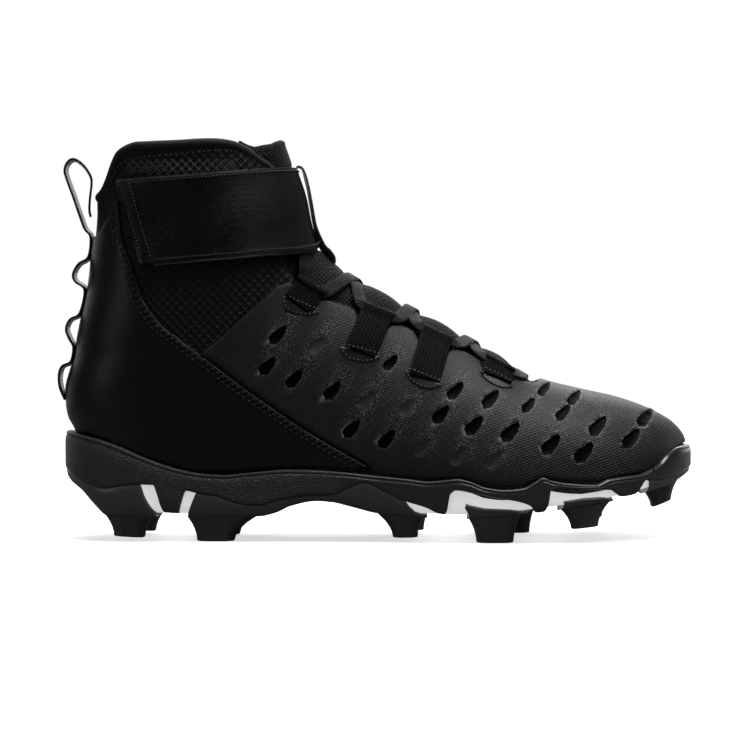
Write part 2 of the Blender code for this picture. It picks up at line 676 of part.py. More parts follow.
# Studs: tread, base and tip from rear to front by SHOE_LENGTH, tip height rear and
# front by STUD_HEIGHT, widths of base and tip across by HEEL_WIDTH, draw-in from the
# edge, and how far forward the inner side's stud stands, by SHOE_LENGTH
STUDS = (
    ("tread_heel", 0.074, 0.144, 0.084, 0.132, 0.20, 0.14, 0.29, 0.17, 0.03, 0.004),
    ("tread_shank", 0.199, 0.311, 0.2145, 0.273, 0.0, 0.0, 0.30, 0.18, 0.02, 0.002),
    ("tread_shank", 0.499, 0.563, 0.521, 0.560, 0.17, 0.18, 0.29, 0.17, 0.03, 0.010),
    ("tread_forefoot", 0.638, 0.715, 0.651, 0.7085, 0.0, 0.0, 0.30, 0.18, 0.02, 0.032),
    ("tread_front", 0.782, 0.858, 0.799, 0.8405, 0.55, 0.66, 0.29, 0.17, 0.03, 0.022),
)
STUD_INSET = 0.0014
TOE_STUD = (0.919, 0.978, 0.935, 0.9665, 1.25, 1.55, 0.34, 0.24)


def stud(name, corners_low, corners_high):
    """A tapered stud between a low and a high ring of corners."""
    surface = Surface()
    low = [surface.point(p) for p in corners_low]
    high = [surface.point(p) for p in corners_high]
    surface.face(low)
    surface.face(high)
    surface.strip(low + low[:1], high + high[:1])
    return add_object(name, surface)


def chamfered(rear, front, outer, inner, cut):
    """Eight corners of a block in plan with its corners cut."""
    long, wide = (front - rear) * cut, (inner - outer) * cut
    return [
        (rear + long, outer), (front - long, outer), (front, outer + wide),
        (front, inner - wide), (front - long, inner), (rear + long, inner),
        (rear, inner - wide), (rear, outer + wide),
    ]


def edge_at(x, side, inset):
    """The outline's place across at x on one side, drawn in."""
    half = sole_half_width(x / SHOE_LENGTH) - inset
    half = half * rounded((x - inset) / HEEL_ROUNDING)
    half = half * rounded((SHOE_LENGTH - inset - x) / TOE_ROUNDING)
    return middle_share(x / SHOE_LENGTH) * BALL_WIDTH + side * half


def tread_floor(x):
    return underside(x) + RUBBER


def past_the_top(x):
    return side_top(x) + 0.2 * SOLE_HEIGHT


treads = {}
for name, (rear_points, follow, front_points) in TREADS.items():
    outline = [(x * SHOE_LENGTH, z * SOLE_HEIGHT) for x, z in rear_points]
    if follow is not None:
        along = edge_x[(edge_x > follow[0] * SHOE_LENGTH) & (edge_x < follow[1] * SHOE_LENGTH)]
        along = np.concatenate([[follow[0] * SHOE_LENGTH], along, [follow[1] * SHOE_LENGTH]])
        outline += list(zip(along, band_edge(along) - CLEARANCE))
    outline += [(x * SHOE_LENGTH, z * SOLE_HEIGHT) for x, z in front_points]
    far_outline = None
    if name in TREAD_SKEW:
        rear_skew, front_skew, lower = TREAD_SKEW[name]
        rear_x, front_x = outline[0][0], outline[-1][0]
        far_outline = []
        for x, z in outline:
            skew = rear_skew + (front_skew - rear_skew) * (x - rear_x) / (front_x - rear_x)
            far_outline.append((x + skew * SHOE_LENGTH, z * lower))
    tread = side_body(name, 0.0, black_rubber)
    combine(tread, prism("side_outline", outline, far_outline), "INTERSECT")
    core = sole_body("core", [(SKIN, tread_floor), (SKIN, past_the_top)])
    combine(tread, core, "DIFFERENCE")
    treads[name] = tread

for name, *shares in STUDS:
    rear_z, front_z = (v * STUD_HEIGHT for v in shares[4:6])
    base_width, tip_width, draw = (v * HEEL_WIDTH for v in shares[6:9])
    for side, forward in ((-1, 0.0), (1, shares[9])):
        base_rear, base_front, tip_rear, tip_front = (
            (v + forward) * SHOE_LENGTH for v in shares[:4]
        )
        high, low = [], []
        middle = (tip_rear + tip_front) / 2
        for x, y in chamfered(base_rear, base_front, 0.0, base_width, 0.22):
            edge = edge_at(x, side, STUD_INSET)
            high.append((x, edge - side * y, float(underside(x)) + RUBBER * 0.4))
        for x, y in chamfered(tip_rear, tip_front, 0.0, tip_width, 0.22):
            edge = edge_at(middle, side, STUD_INSET + 0.0018 + draw)
            share = (x - tip_rear) / (tip_front - tip_rear)
            low.append((x, edge - side * y, rear_z + (front_z - rear_z) * share))
        combine(treads[name], stud("stud", low, high), "UNION")

base_rear, base_front, tip_rear, tip_front = (v * SHOE_LENGTH for v in TOE_STUD[:4])
across = middle_share(0.95) * BALL_WIDTH
high, low = [], []
for x, y in chamfered(base_rear, base_front, -0.5, 0.5, 0.22):
    high.append((x, across + y * TOE_STUD[6] * HEEL_WIDTH, float(underside(x)) + RUBBER * 0.4))
for x, y in chamfered(tip_rear, tip_front, -0.5, 0.5, 0.22):
    share = (x - tip_rear) / (tip_front - tip_rear)
    tip_z = (TOE_STUD[4] + (TOE_STUD[5] - TOE_STUD[4]) * share) * STUD_HEIGHT
    low.append((x, across + y * TOE_STUD[7] * HEEL_WIDTH, tip_z))
combine(treads["tread_toe"], stud("stud", low, high), "UNION")


def above_sole(share, gap=0.0015):
    """A point just above the sole's side, as shares."""
    return share, height_share(float(side_top(share * SHOE_LENGTH)) + gap)


# Stitched front edge of the quarter panel, from the collar's back to the arch, as
# shares of SHOE_LENGTH and of the upper's height
SEAM = (
    (0.092, 0.829), (0.0985, 0.714), (0.119, 0.613), (0.130, 0.542), (0.158, 0.470),
    (0.220, 0.384), (0.298, 0.275), (0.376, 0.175), (0.439, 0.107), (0.480, 0.066),
)
# Rear edge of the vamp skin, over the mesh of the ankle
VAMP_REAR = ((0.229, 0.399), (0.267, 0.461), (0.317, 0.542), (0.354, 0.608))

PANEL_IN, PANEL_OUT = 0.0006, 0.0006 + PANEL_THICKNESS


def distance(here, start, end):
    """How far a place is from a straight stretch, laid out flat."""
    foot, share = geometry.intersect_point_line(here, start, end)
    if 0 < share < 1:
        return (here - foot).length
    return min((here - start).length, (here - end).length)


def overlay(name, outline, made_of):
    """A shell over the upper inside an outline of (section, turn), turns signed by
    side, on the upper's own net of points."""
    outline = [Vector((float(s), float(t) * 6)) for s, t in outline]
    sides = list(zip(outline, outline[1:] + outline[:1]))
    inside = []
    for section in UPPER_ROWS[1:-1]:
        side = side_turns(section)
        for turn in np.unique(np.concatenate([-side[::-1], side])):
            here = Vector((section, turn * 6))
            if min(distance(here, p, q) for p, q in sides) > 0.05:
                inside.append(here)
    count = len(outline)
    edges = [(i, (i + 1) % count) for i in range(count)]
    points, _, faces, *_ = geometry.delaunay_2d_cdt(
        outline + inside, edges, [list(range(count))], 1, 1e-6
    )
    net = np.array([(p[0], p[1] / 6) for p in points])
    surface = Surface()
    deep, out = (
        [surface.point(p) for p in off_last(net[:, 0], net[:, 1], np.full(len(net), offset))]
        for offset in (PANEL_IN, PANEL_OUT)
    )
    rim = {}
    for face in faces:
        surface.face([out[i] for i in face])
        surface.face([deep[i] for i in face][::-1])
        for i, j in zip(face, list(face[1:]) + [face[0]]):
            if (j, i) in rim:
                del rim[(j, i)]
            else:
                rim[(i, j)] = True
    for i, j in rim:
        surface.face([out[j], out[i], deep[i], deep[j]])
    made = add_object(name, surface, made_of)
    combine(made, last_body("foot_room", CLEARANCE), "DIFFERENCE")
    return made


def located(line):
    x, z = np.array(line, float).T
    return list(zip(*locate(x * SHOE_LENGTH, height(z))))


def spread(line, count):
    """The same line in evenly spaced points."""
    line = np.array(line, float)
    reach = np.concatenate([[0], np.cumsum(np.linalg.norm(np.diff(line, axis=0), axis=1))])
    at = np.linspace(0, reach[-1], count)
    return [tuple(np.interp(v, reach, line[:, c]) for c in (0, 1)) for v in at]


# Quarter panels: smooth synthetic over heel and quarter, one on each side
seam_line = located(spread(SEAM, 25))
QUARTER_LOW = (
    0.462, 0.43, 0.39, 0.35, 0.31, 0.27, 0.23, 0.19, 0.15, 0.11, 0.075, 0.045, 0.022,
)
low_line = located([above_sole(share) for share in QUARTER_LOW])
heel_line = [(s, 0.955) for s in (14.35, 14.6, 15.0, 15.4, 15.8, 16.2, 16.6, 17.0, 17.25)]
quarter_outline = seam_line + low_line + heel_line
for side, name in ((-1, "quarter_outer"), (1, "quarter_inner")):
    overlay(name, [(s, t * side) for s, t in quarter_outline], black_synthetic)

# Vamp skin: one moulded overlay over toe, vamp and forefoot of both sides
front_seam = located(spread([(x + 0.003, z + 0.004) for x, z in SEAM[5:]], 13))
VAMP_LOW = (
    0.495, 0.53, 0.565, 0.60, 0.63, 0.66, 0.69, 0.72, 0.75, 0.78, 0.81, 0.84, 0.87, 0.90,
    0.925, 0.945, 0.963, 0.976,
)
toe_line = located([above_sole(share) for share in VAMP_LOW])
THROAT_ROWS = (12.2, 11.6, 11.0, 10.5, 10.0, 9.5, 9.0, 8.5, 8.0, 7.6, 7.3, 7.12)
throat_line = [(s, float(throat_edge(s)) + 0.024) for s in THROAT_ROWS]
half_outline = throat_line[::-1] + located(spread(VAMP_REAR, 6))[::-1][1:-1]
half_outline += front_seam + toe_line
toe_ridge = (float(np.interp(side_top(0.986 * SHOE_LENGTH) + 0.0016, [0.039, 0.0452], [1.0, 2.0])), 0.0)
vamp_outline = [(7.0, 0.0)] + half_outline + [toe_ridge] + [(s, -t) for s, t in half_outline[::-1]]
overlay("vamp_skin", vamp_outline, black_synthetic)

# Tongue, under the throat and up to a flap in front of the collar
surface = Surface()
grids = []
tongue_rows = [6.0, 7.0, 7.5, 8.0, 9.0, 10.0, 11.0, 12.0, 13.0, 14.0, 15.0, 16.0, 17.0, 18.0, 18.5]
for inner in (False, True):
    grid = []
    for section in tongue_rows:
        at = np.full(9, min(section, 18.0))
        tongue_turns = np.linspace(-1, 1, 9) * (0.30 - 0.06 * float(eased((section - 12.5) / 2)))
        slot = max(float(throat_edge(section)) - 0.03, 0.02)
        rise = 0.0020 * np.clip(1 - (tongue_turns / slot) ** 2, 0, 1) * np.clip(section - 7, 0, 1)
        offset = -WALL - 0.0009 + rise - (TONGUE_THICKNESS if inner else 0.0)
        places = off_last(at, tongue_turns, offset)
        places[:, 2] += max(section - 18.0, 0.0) * 0.006
        places[:, 0] -= max(section - 18.0, 0.0) * 0.0012
        grid.append([surface.point(place) for place in places])
    grids.append(grid)
out, deep = grids
for i in range(len(tongue_rows) - 1):
    surface.strip(out[i], out[i + 1])
    surface.strip(deep[i], deep[i + 1])
    for end in (0, -1):
        surface.strip([out[i][end], out[i + 1][end]], [deep[i][end], deep[i + 1][end]])
surface.strip(out[0], deep[0])
surface.strip(out[-1], deep[-1])
tongue = add_object("tongue", surface, black_knit)

# Insole: a foam footbed on the plate
surface = Surface()
insole_rows = [0.35, 0.7, 1.0, 1.5, 2.0, 3.0, 4.0, 5.0, 6.0, 7.0, 8.0, 9.0, 10.0, 11.0, 11.5]
insole_rows += [12.0, 12.3, 12.55, 12.75, 12.9]
rings = []
for section in insole_rows:
    inset = -WALL - 0.0012 - 0.0015 * (section > 12)
    feet = off_last(np.full(2, section), np.array([-1.0, 1.0]), np.full(2, inset))
    low = float(feather_height(last_point(section, 1.0)[0])) + 0.0003
    top, bottom = [], []
    for share in np.linspace(0, 1, 7):
        x, y = feet[0, :2] + (feet[1, :2] - feet[0, :2]) * share
        rise = 0.0024 * (2 * share - 1) ** 2
        top.append(surface.point((x, y, low + INSOLE_THICKNESS + rise)))
        if share in (0, 1):
            bottom.append(surface.point((x, y, low)))
    rings.append((top, bottom))
for first, second in zip(rings, rings[1:]):
    surface.strip(first[0], second[0])
    surface.strip(first[1], second[1])
    for end in (0, -1):
        surface.strip([first[0][end], second[0][end]], [first[1][end], second[1][end]])
for top, bottom in (rings[0], rings[-1]):
    surface.face(top + bottom[::-1])
insole = add_object("insole", surface, grey_foam)

# Ankle strap round the shaft, from the side-view corners of its band
STRAP_TOP = ((0.096, 0.888), (0.366, 0.925))
STRAP_LOW = ((0.132, 0.636), (0.3925, 0.676))
STRAP_IN = 0.0012
STRAP_OUT = STRAP_IN + STRAP_THICKNESS
forward = np.sin(np.linspace(0, np.pi / 2, 13))
rows = []
for step in np.linspace(0, 1, 6):
    rear = np.array(STRAP_TOP[0]) * (1 - step) + np.array(STRAP_LOW[0]) * step
    front = np.array(STRAP_TOP[1]) * (1 - step) + np.array(STRAP_LOW[1]) * step
    x = (rear[0] + (front[0] - rear[0]) * forward) * SHOE_LENGTH
    z = height(rear[1] + (front[1] - rear[1]) * forward)
    section, turn = locate(x, z)
    turn[-1] = 0.0
    outer_half = list(zip(section, -turn))
    rows.append(outer_half + [(s, -t) for s, t in outer_half[-2::-1]])
strap = patch("ankle_strap", rows, STRAP_IN, STRAP_OUT, black_webbing)

# Keeper ribbon down the strap's front
keeper_sections = np.linspace(11.85, 17.05, 9)
keeper_off = np.full(9, STRAP_OUT + 0.0003 + TAPE_THICKNESS / 2)
keeper_off[0] -= 0.0006
keeper = band(
    "keeper_ribbon", off_last(keeper_sections, np.zeros(9), keeper_off),
    last_normal(keeper_sections, np.zeros(9)), 0.0075, TAPE_THICKNESS, black_webbing,
)

# Webbing lace loops, four on each side, from the front one back: section at the
# throat, reach down from the throat along the surface
LOOPS = ((7.85, 0.0095), (9.02, 0.0235), (10.13, 0.0215), (11.68, 0.0105))
LOOP_WIDTH = 0.0148
LOOP_OFF = PANEL_OUT + 0.0006 + WEBBING / 2
for side, side_name in ((-1, "outer"), (1, "inner")):
    for number, (section, reach) in enumerate(LOOPS, 1):
        first_turn = float(throat_edge(section)) + 0.006
        turns = np.linspace(first_turn, first_turn + 0.6, 121)
        line = last_point(np.full(121, section), turns)
        run = np.concatenate([[0], np.cumsum(np.linalg.norm(np.diff(line, axis=0), axis=1))])
        last_turn = float(np.interp(reach, run, turns))
        turns = np.linspace(first_turn, last_turn, 6) * side
        sections = np.full(6, section)
        band(
            f"loop_{side_name}_{number}", off_last(sections, turns, np.full(6, LOOP_OFF)),
            last_normal(sections, turns), LOOP_WIDTH, WEBBING, black_webbing,
        )

# Lace: crossings between the loops' ends, as joined pieces over the tongue
LACE_OFF = PANEL_OUT + 0.0004 + LACE_THICKNESS / 2
LACE_TURN = -0.006
LACE_DROP = 0.0016


def lace_strand(name, start, end, rise=0.0):
    sections = np.linspace(start[0], end[0], 9)
    turns = np.linspace(start[1], end[1], 9)
    offsets = LACE_OFF - LACE_DROP * np.linspace(-1, 1, 9) ** 4
    offsets = offsets + rise * np.sin(np.linspace(0, np.pi, 9))
    return band(
        name, off_last(sections, turns, offsets), last_normal(sections, turns),
        LACE_WIDTH, LACE_THICKNESS, black_webbing,
    )


def throat_end(section, side):
    return section, side * (float(throat_edge(section)) + LACE_TURN)


lace_strand("lace_bar", throat_end(LOOPS[0][0], -1), throat_end(LOOPS[0][0], 1))
LACE_SPREAD = 0.30
for number in range(3):
    front, rear = LOOPS[number][0] + LACE_SPREAD, LOOPS[number + 1][0] - LACE_SPREAD
    crossing = lace_strand(f"lace_cross_{number + 1}", throat_end(front, -1), throat_end(rear, 1))
    over = lace_strand("strand", throat_end(front, 1), throat_end(rear, -1), 0.0006)
    combine(crossing, over, "UNION")

# Heel ribbon: sewn down the heel's back, with the pull loop on top and three loops
# below it. Stretches with no place along lie on the heel's back.
HEEL_RIBBON = (
    (0.0015, 0.252), (-0.0065, 0.288), (-0.0080, 0.322), (-0.0035, 0.347), (None, 0.362),
    (None, 0.405), (0.0080, 0.432), (0.0035, 0.458), (0.0095, 0.484), (None, 0.503),
    (None, 0.572), (0.0180, 0.598), (0.0148, 0.618), (0.0230, 0.646), (None, 0.668),
    (None, 0.727), (0.0330, 0.752), (0.0240, 0.796), (0.0155, 0.842), (0.0050, 0.895),
    (0.0015, 0.920), (0.0055, 0.942), (0.0150, 0.952), (0.0290, 0.935), (0.0400, 0.905),
    (0.0420, 0.882), (0.0395, 0.842), (0.0385, 0.805), (0.0405, 0.786),
)
path = []
for along, up in HEEL_RIBBON:
    z = float(height(up))
    x = float(heel_back(z)) - 0.0007 - TAPE_THICKNESS / 2 if along is None else along * SHOE_LENGTH
    path.append((x, 0.0, z))
path = np.array(path)
tangent = np.gradient(path, axis=0)
normal = np.cross(tangent, np.array([0.0, 1.0, 0.0]))
normal = normal / np.linalg.norm(normal, axis=1, keepdims=True)
across_back = middle_share(0.02) * BALL_WIDTH
path[:, 1] = across_back
band("heel_ribbon", path, normal, TAPE_WIDTH, TAPE_THICKNESS, black_webbing)

# The middle of the shoe's box on the floor becomes the origin
bpy.context.view_layer.update()
corners = [o.matrix_world @ Vector(c) for o in bpy.context.scene.objects for c in o.bound_box]
low = [min(c[i] for c in corners) for i in range(3)]
high = [max(c[i] for c in corners) for i in range(3)]
shift = Vector((-(low[0] + high[0]) / 2, -(low[1] + high[1]) / 2, -low[2]))
for made in bpy.context.scene.objects:
    made.data.transform(Matrix.Translation(shift))
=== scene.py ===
import math

import bpy
import numpy as np
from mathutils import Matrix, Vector, geometry, kdtree


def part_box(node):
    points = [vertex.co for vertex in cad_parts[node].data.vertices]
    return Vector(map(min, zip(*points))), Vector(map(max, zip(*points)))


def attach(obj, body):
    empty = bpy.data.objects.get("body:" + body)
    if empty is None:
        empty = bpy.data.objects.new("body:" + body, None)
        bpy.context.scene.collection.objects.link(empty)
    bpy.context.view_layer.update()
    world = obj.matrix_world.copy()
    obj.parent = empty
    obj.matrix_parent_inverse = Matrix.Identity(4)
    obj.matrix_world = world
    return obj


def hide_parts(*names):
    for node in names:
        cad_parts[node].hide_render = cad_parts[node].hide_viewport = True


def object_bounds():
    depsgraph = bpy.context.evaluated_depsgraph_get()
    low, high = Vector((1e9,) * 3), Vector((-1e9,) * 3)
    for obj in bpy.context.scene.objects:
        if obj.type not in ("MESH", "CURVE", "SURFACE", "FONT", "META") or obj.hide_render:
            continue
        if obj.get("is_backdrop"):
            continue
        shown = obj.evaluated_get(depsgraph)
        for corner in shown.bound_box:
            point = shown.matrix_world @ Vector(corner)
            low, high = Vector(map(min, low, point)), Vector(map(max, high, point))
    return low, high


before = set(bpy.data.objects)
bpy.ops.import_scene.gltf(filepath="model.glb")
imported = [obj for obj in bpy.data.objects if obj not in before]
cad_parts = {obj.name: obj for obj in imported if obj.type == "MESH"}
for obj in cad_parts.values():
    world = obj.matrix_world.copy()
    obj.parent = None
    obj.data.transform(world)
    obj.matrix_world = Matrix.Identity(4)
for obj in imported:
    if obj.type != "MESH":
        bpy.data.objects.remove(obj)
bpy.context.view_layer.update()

bpy.context.scene.view_settings.view_transform = "Standard"

# Photographer's set: a long lens a little above the ankle, looking square at the outer
# side of the shoe. The shoe's own x starts at the heel; FROM_HEEL takes it to the row's.
FROM_HEEL = Vector((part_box("midsole")[0][0], -0.0001, 0.0))
FOCAL_PIXELS, CENTRE_COLUMN, CENTRE_ROW, HORIZON_ROW = 3459.0, 375.0, 375.0, 312.4
CAMERA_DISTANCE, CAMERA_HEIGHT, CAMERA_ALONG = 1.600, 0.104, 0.1432
SENSOR_MM, PICTURE_PIXELS = 36.0, 750

camera = bpy.data.objects.new("camera", bpy.data.cameras.new("camera"))
bpy.context.scene.collection.objects.link(camera)
camera.data.sensor_width = SENSOR_MM
camera.data.lens = FOCAL_PIXELS / PICTURE_PIXELS * SENSOR_MM
camera.data.clip_start, camera.data.clip_end = 0.1, 20.0
camera.location = FROM_HEEL + Vector((CAMERA_ALONG, -CAMERA_DISTANCE, CAMERA_HEIGHT))
dip = math.atan((CENTRE_ROW - HORIZON_ROW) / FOCAL_PIXELS)
camera.rotation_euler = (math.pi / 2 - dip, 0, 0)
bpy.context.scene.camera = camera


def simple_material(name, colour, roughness, **values):
    """A Principled material; values name more of the shader's sockets."""
    made = bpy.data.materials.new(name)
    made.use_nodes = True
    shader = made.node_tree.nodes["Principled BSDF"]
    shader.inputs["Base Color"].default_value = (*colour, 1.0)
    shader.inputs["Roughness"].default_value = roughness
    for socket, value in values.items():
        shader.inputs[socket.replace("_", " ")].default_value = value
    return made


def add_mesh(name, points, faces, materials, indices=None, smooth=True):
    """An object of a mesh; indices give each face's number in the materials."""
    mesh = bpy.data.meshes.new(name)
    mesh.from_pydata([tuple(p) for p in points], [], [tuple(f) for f in faces])
    for surface in materials:
        mesh.materials.append(surface)
    if indices is not None:
        mesh.polygons.foreach_set("material_index", np.array(indices, np.int32))
    mesh.polygons.foreach_set("use_smooth", np.full(len(mesh.polygons), smooth))
    mesh.update()
    made = bpy.data.objects.new(name, mesh)
    bpy.context.scene.collection.objects.link(made)
    return made


def soft_light(name, place, aim, size, power):
    """A rectangular light at a place, turned to an aim."""
    light = bpy.data.lights.new(name, "AREA")
    light.shape, light.size, light.size_y, light.energy = "RECTANGLE", size[0], size[1], power
    made = bpy.data.objects.new(name, light)
    made.location = place
    made.rotation_euler = (Vector(aim) - Vector(place)).to_track_quat("-Z", "Y").to_euler()
    bpy.context.scene.collection.objects.link(made)


FLOOR_HALF, WHITE = 1.5, (1.0, 1.0, 1.0)
floor = add_mesh(
    "floor",
    [(FLOOR_HALF * u, FLOOR_HALF * v, 0) for u, v in ((-1, -1), (1, -1), (1, 1), (-1, 1))],
    [(0, 1, 2, 3)],
    [simple_material("pale_floor", WHITE, 0.9, Emission_Color=(*WHITE, 1.0))],
)
floor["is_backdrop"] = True
# The floor is lit to white for the lens alone, so the black shoe isn't washed by it.
floor_tree = floor.data.materials[0].node_tree
seen = floor_tree.nodes.new("ShaderNodeLightPath").outputs["Is Camera Ray"]
for socket, (away, direct) in (("Base Color", (0.12, 0.9)), ("Emission Strength", (0.0, 0.62))):
    choice = floor_tree.nodes.new("ShaderNodeMapRange")
    choice.inputs["To Min"].default_value, choice.inputs["To Max"].default_value = away, direct
    floor_tree.links.new(seen, choice.inputs["Value"])
    floor_tree.links.new(choice.outputs[0], floor_tree.nodes["Principled BSDF"].inputs[socket])
world = bpy.data.worlds.new("studio")
bpy.context.scene.world = world
world.use_nodes = True
sky = world.node_tree
facing = sky.nodes.new("ShaderNodeSeparateXYZ")
sky.links.new(sky.nodes.new("ShaderNodeTexCoord").outputs["Generated"], facing.inputs[0])
backdrop = sky.nodes.new("ShaderNodeMapRange")
backdrop.interpolation_type = "SMOOTHSTEP"
backdrop.inputs["From Min"].default_value, backdrop.inputs["From Max"].default_value = 0.45, 0.95
backdrop.inputs["To Min"].default_value, backdrop.inputs["To Max"].default_value = 0.05, 1.02
sky.links.new(facing.outputs["Y"], backdrop.inputs["Value"])
sky.links.new(backdrop.outputs[0], sky.nodes["Background"].inputs["Strength"])
sky.nodes["Background"].inputs["Color"].default_value = (*WHITE, 1.0)
soft_light("overhead", (0.05, 0.05, 1.35), (0.0, 0, 0.05), (1.3, 0.7), 17)
soft_light("toe_side", (0.75, -0.35, 1.15), (0.05, 0, 0.06), (0.6, 0.7), 4.5)
soft_light("heel_side", (-1.15, -0.7, 0.6), (-0.05, 0, 0.08), (0.3, 0.9), 1.6)
soft_light("behind", (0.1, 1.3, 0.9), (0, 0, 0.08), (1.3, 0.6), 6)

# Bootie: the lasted black mesh shaft and its wall, open at the collar and throat. It is
# one knitted piece with round pinholes, and shows at the ankle, the collar and inside.
SHOE_LENGTH = 0.2904
COLLAR_HEIGHT = 0.1820
SOLE_HEIGHT = 0.0495
FOOTBED_HEIGHT = SOLE_HEIGHT * 0.485
STUD_HEIGHT = SOLE_HEIGHT * 0.2222
BALL_WIDTH = 0.0960
HEEL_WIDTH = 0.0700
SHAFT_WIDTH = 0.0640
WALL = 0.0024
LIP = 0.0050
COLLAR_RISE = 0.0175
HEEL_ROUNDING = 0.0350
TOE_ROUNDING = 0.0600

# The last, toe to collar. Each section is a plane across the shoe from a point on
# the ridge to a point on the feather line or, from the heel corner on, on the heel's
# back. Lengths along the shoe are shares of SHOE_LENGTH, heights are shares of the
# height from the footbed to the collar.
# ridge_along, ridge_up, foot_along, back_up, ridge_depth, roundness, collar_bend
LAST_SECTIONS = (
    (0.9845, 0.0510, 0.9845, None, 0.96, 2.00, 0.0),
    (0.9897, 0.0950, 0.9680, None, 0.95, 2.00, 0.0),
    (0.9855, 0.1340, 0.9450, None, 0.93, 2.05, 0.0),
    (0.9690, 0.1740, 0.9170, None, 0.90, 2.15, 0.0),
    (0.9359, 0.2114, 0.8830, None, 0.88, 2.20, 0.0),
    (0.8793, 0.2506, 0.8280, None, 0.87, 2.20, 0.0),
    (0.8138, 0.2778, 0.7660, None, 0.87, 2.15, 0.0),
    (0.7552, 0.3060, 0.7000, None, 0.87, 2.05, 0.0),
    (0.6793, 0.3848, 0.6140, None, 0.82, 1.95, 0.0),
    (0.5966, 0.4684, 0.5170, None, 0.74, 1.90, 0.0),
    (0.5172, 0.5443, 0.3970, None, 0.62, 1.90, 0.0),
    (0.4517, 0.6095, 0.2590, None, 0.47, 1.92, 0.0),
    (0.4103, 0.6677, 0.1210, None, 0.38, 1.96, 0.0),
    (0.3948, 0.7184, 0.0340, 0.0127, 0.34, 2.00, 0.0),
    (0.3862, 0.7690, None, 0.1770, 0.32, 2.00, 0.0),
    (0.3783, 0.8165, None, 0.3420, 0.33, 2.00, 0.12),
    (0.3690, 0.8671, None, 0.5060, 0.36, 2.00, 0.35),
    (0.3586, 0.9241, None, 0.6840, 0.40, 2.00, 0.65),
    (0.3466, 0.9873, None, 0.8420, 0.45, 2.00, 1.0),
)
HEEL_CORNER = 13
TOP_SECTION = len(LAST_SECTIONS) - 1

# Heel's back line: height share, place along the shoe
HEEL_BACK = (
    (0.0127, 0.0340), (0.06, 0.0235), (0.10, 0.0190), (0.165, 0.0170), (0.205, 0.0085),
    (0.24, 0.0055), (0.28, 0.0046), (0.33, 0.0105), (0.377, 0.0195), (0.43, 0.0229),
    (0.478, 0.0281), (0.53, 0.0350), (0.604, 0.0419), (0.68, 0.0460), (0.755, 0.0502),
    (0.80, 0.0515), (0.842, 0.0509),
)
# The foremost line of the toe: height share, place along the shoe
TOE_FRONT = (
    (0.051, 0.9845), (0.095, 0.9897), (0.134, 0.9870), (0.174, 0.9860), (0.2114, 0.9800),
)
# Shape of the collar edge from its front to its back: share of the way, rise
COLLAR_EDGE = (
    (0.0, 0.0), (0.06, -0.16), (0.11, -0.16), (0.17, 0.06), (0.25, 0.33), (0.35, 0.52),
    (0.56, 0.75), (0.71, 0.92), (0.79, 1.0), (0.83, 0.98), (0.865, 0.92), (0.90, 0.65),
    (0.925, 0.38), (0.95, 0.16), (0.98, 0.03), (1.0, 0.0),
)
# Edge of the throat on either side of the tongue: section number, share of the way
# from the ridge to the foot
THROAT_EDGE = (
    (7.0, 0.0), (7.12, 0.100), (7.3, 0.142), (7.6, 0.158), (8.5, 0.166), (9.6, 0.186),
    (10.9, 0.206), (12.0, 0.220), (12.7, 0.222), (14.0, 0.170), (15.5, 0.135), (16.5, 0.140),
    (17.3, 0.165), (17.64, 0.192), (17.88, 0.220), (18.0, 0.262),
)

# Feather line, where the upper meets the sole: place along, height by FOOTBED_HEIGHT
FEATHER = (
    (0.0, 1.08), (0.1, 1.0), (0.2, 0.96), (0.31, 1.02), (0.40, 1.10), (0.48, 1.0),
    (0.575, 0.83), (0.655, 0.77), (0.73, 0.81), (0.83, 0.94), (0.914, 1.13), (1.0, 1.38),
)
# Sole outline: place along, half width by HEEL_WIDTH and by BALL_WIDTH, and the
# middle's shift to the inner side by BALL_WIDTH
OUTLINE = (
    (0.0, 0.50, 0.0, 0.0), (0.21, 0.50, 0.0, -0.008), (0.345, 0.34, 0.095, -0.030),
    (0.448, 0.20, 0.200, -0.042), (0.552, 0.10, 0.325, -0.036), (0.655, 0.0, 0.475, -0.020),
    (0.74, 0.0, 0.50, -0.005), (0.82, 0.0, 0.50, 0.015), (0.89, 0.0, 0.49, 0.045),
    (0.95, 0.0, 0.49, 0.085), (1.0, 0.0, 0.49, 0.130),
)
# Top edge of the sole's side: place along, height by SOLE_HEIGHT
SIDE_TOP = (
    (0.0, 1.0), (0.027, 0.970), (0.055, 0.933), (0.092, 0.860), (0.126, 0.776),
    (0.159, 0.705), (0.192, 0.652), (0.224, 0.622), (0.255, 0.612), (0.282, 0.625),
    (0.317, 0.645), (0.357, 0.660), (0.39, 0.657), (0.44, 0.640), (0.49, 0.610),
    (0.545, 0.580), (0.575, 0.560), (0.605, 0.575), (0.622, 0.585), (0.641, 0.565),
    (0.665, 0.511), (0.695, 0.489), (0.725, 0.505), (0.745, 0.565), (0.756, 0.600),
    (0.768, 0.575), (0.80, 0.545), (0.84, 0.535), (0.86, 0.580), (0.885, 0.600),
    (0.91, 0.615), (0.93, 0.655), (0.945, 0.705), (0.962, 0.795), (0.981, 0.855),
    (1.0, 0.865),
)


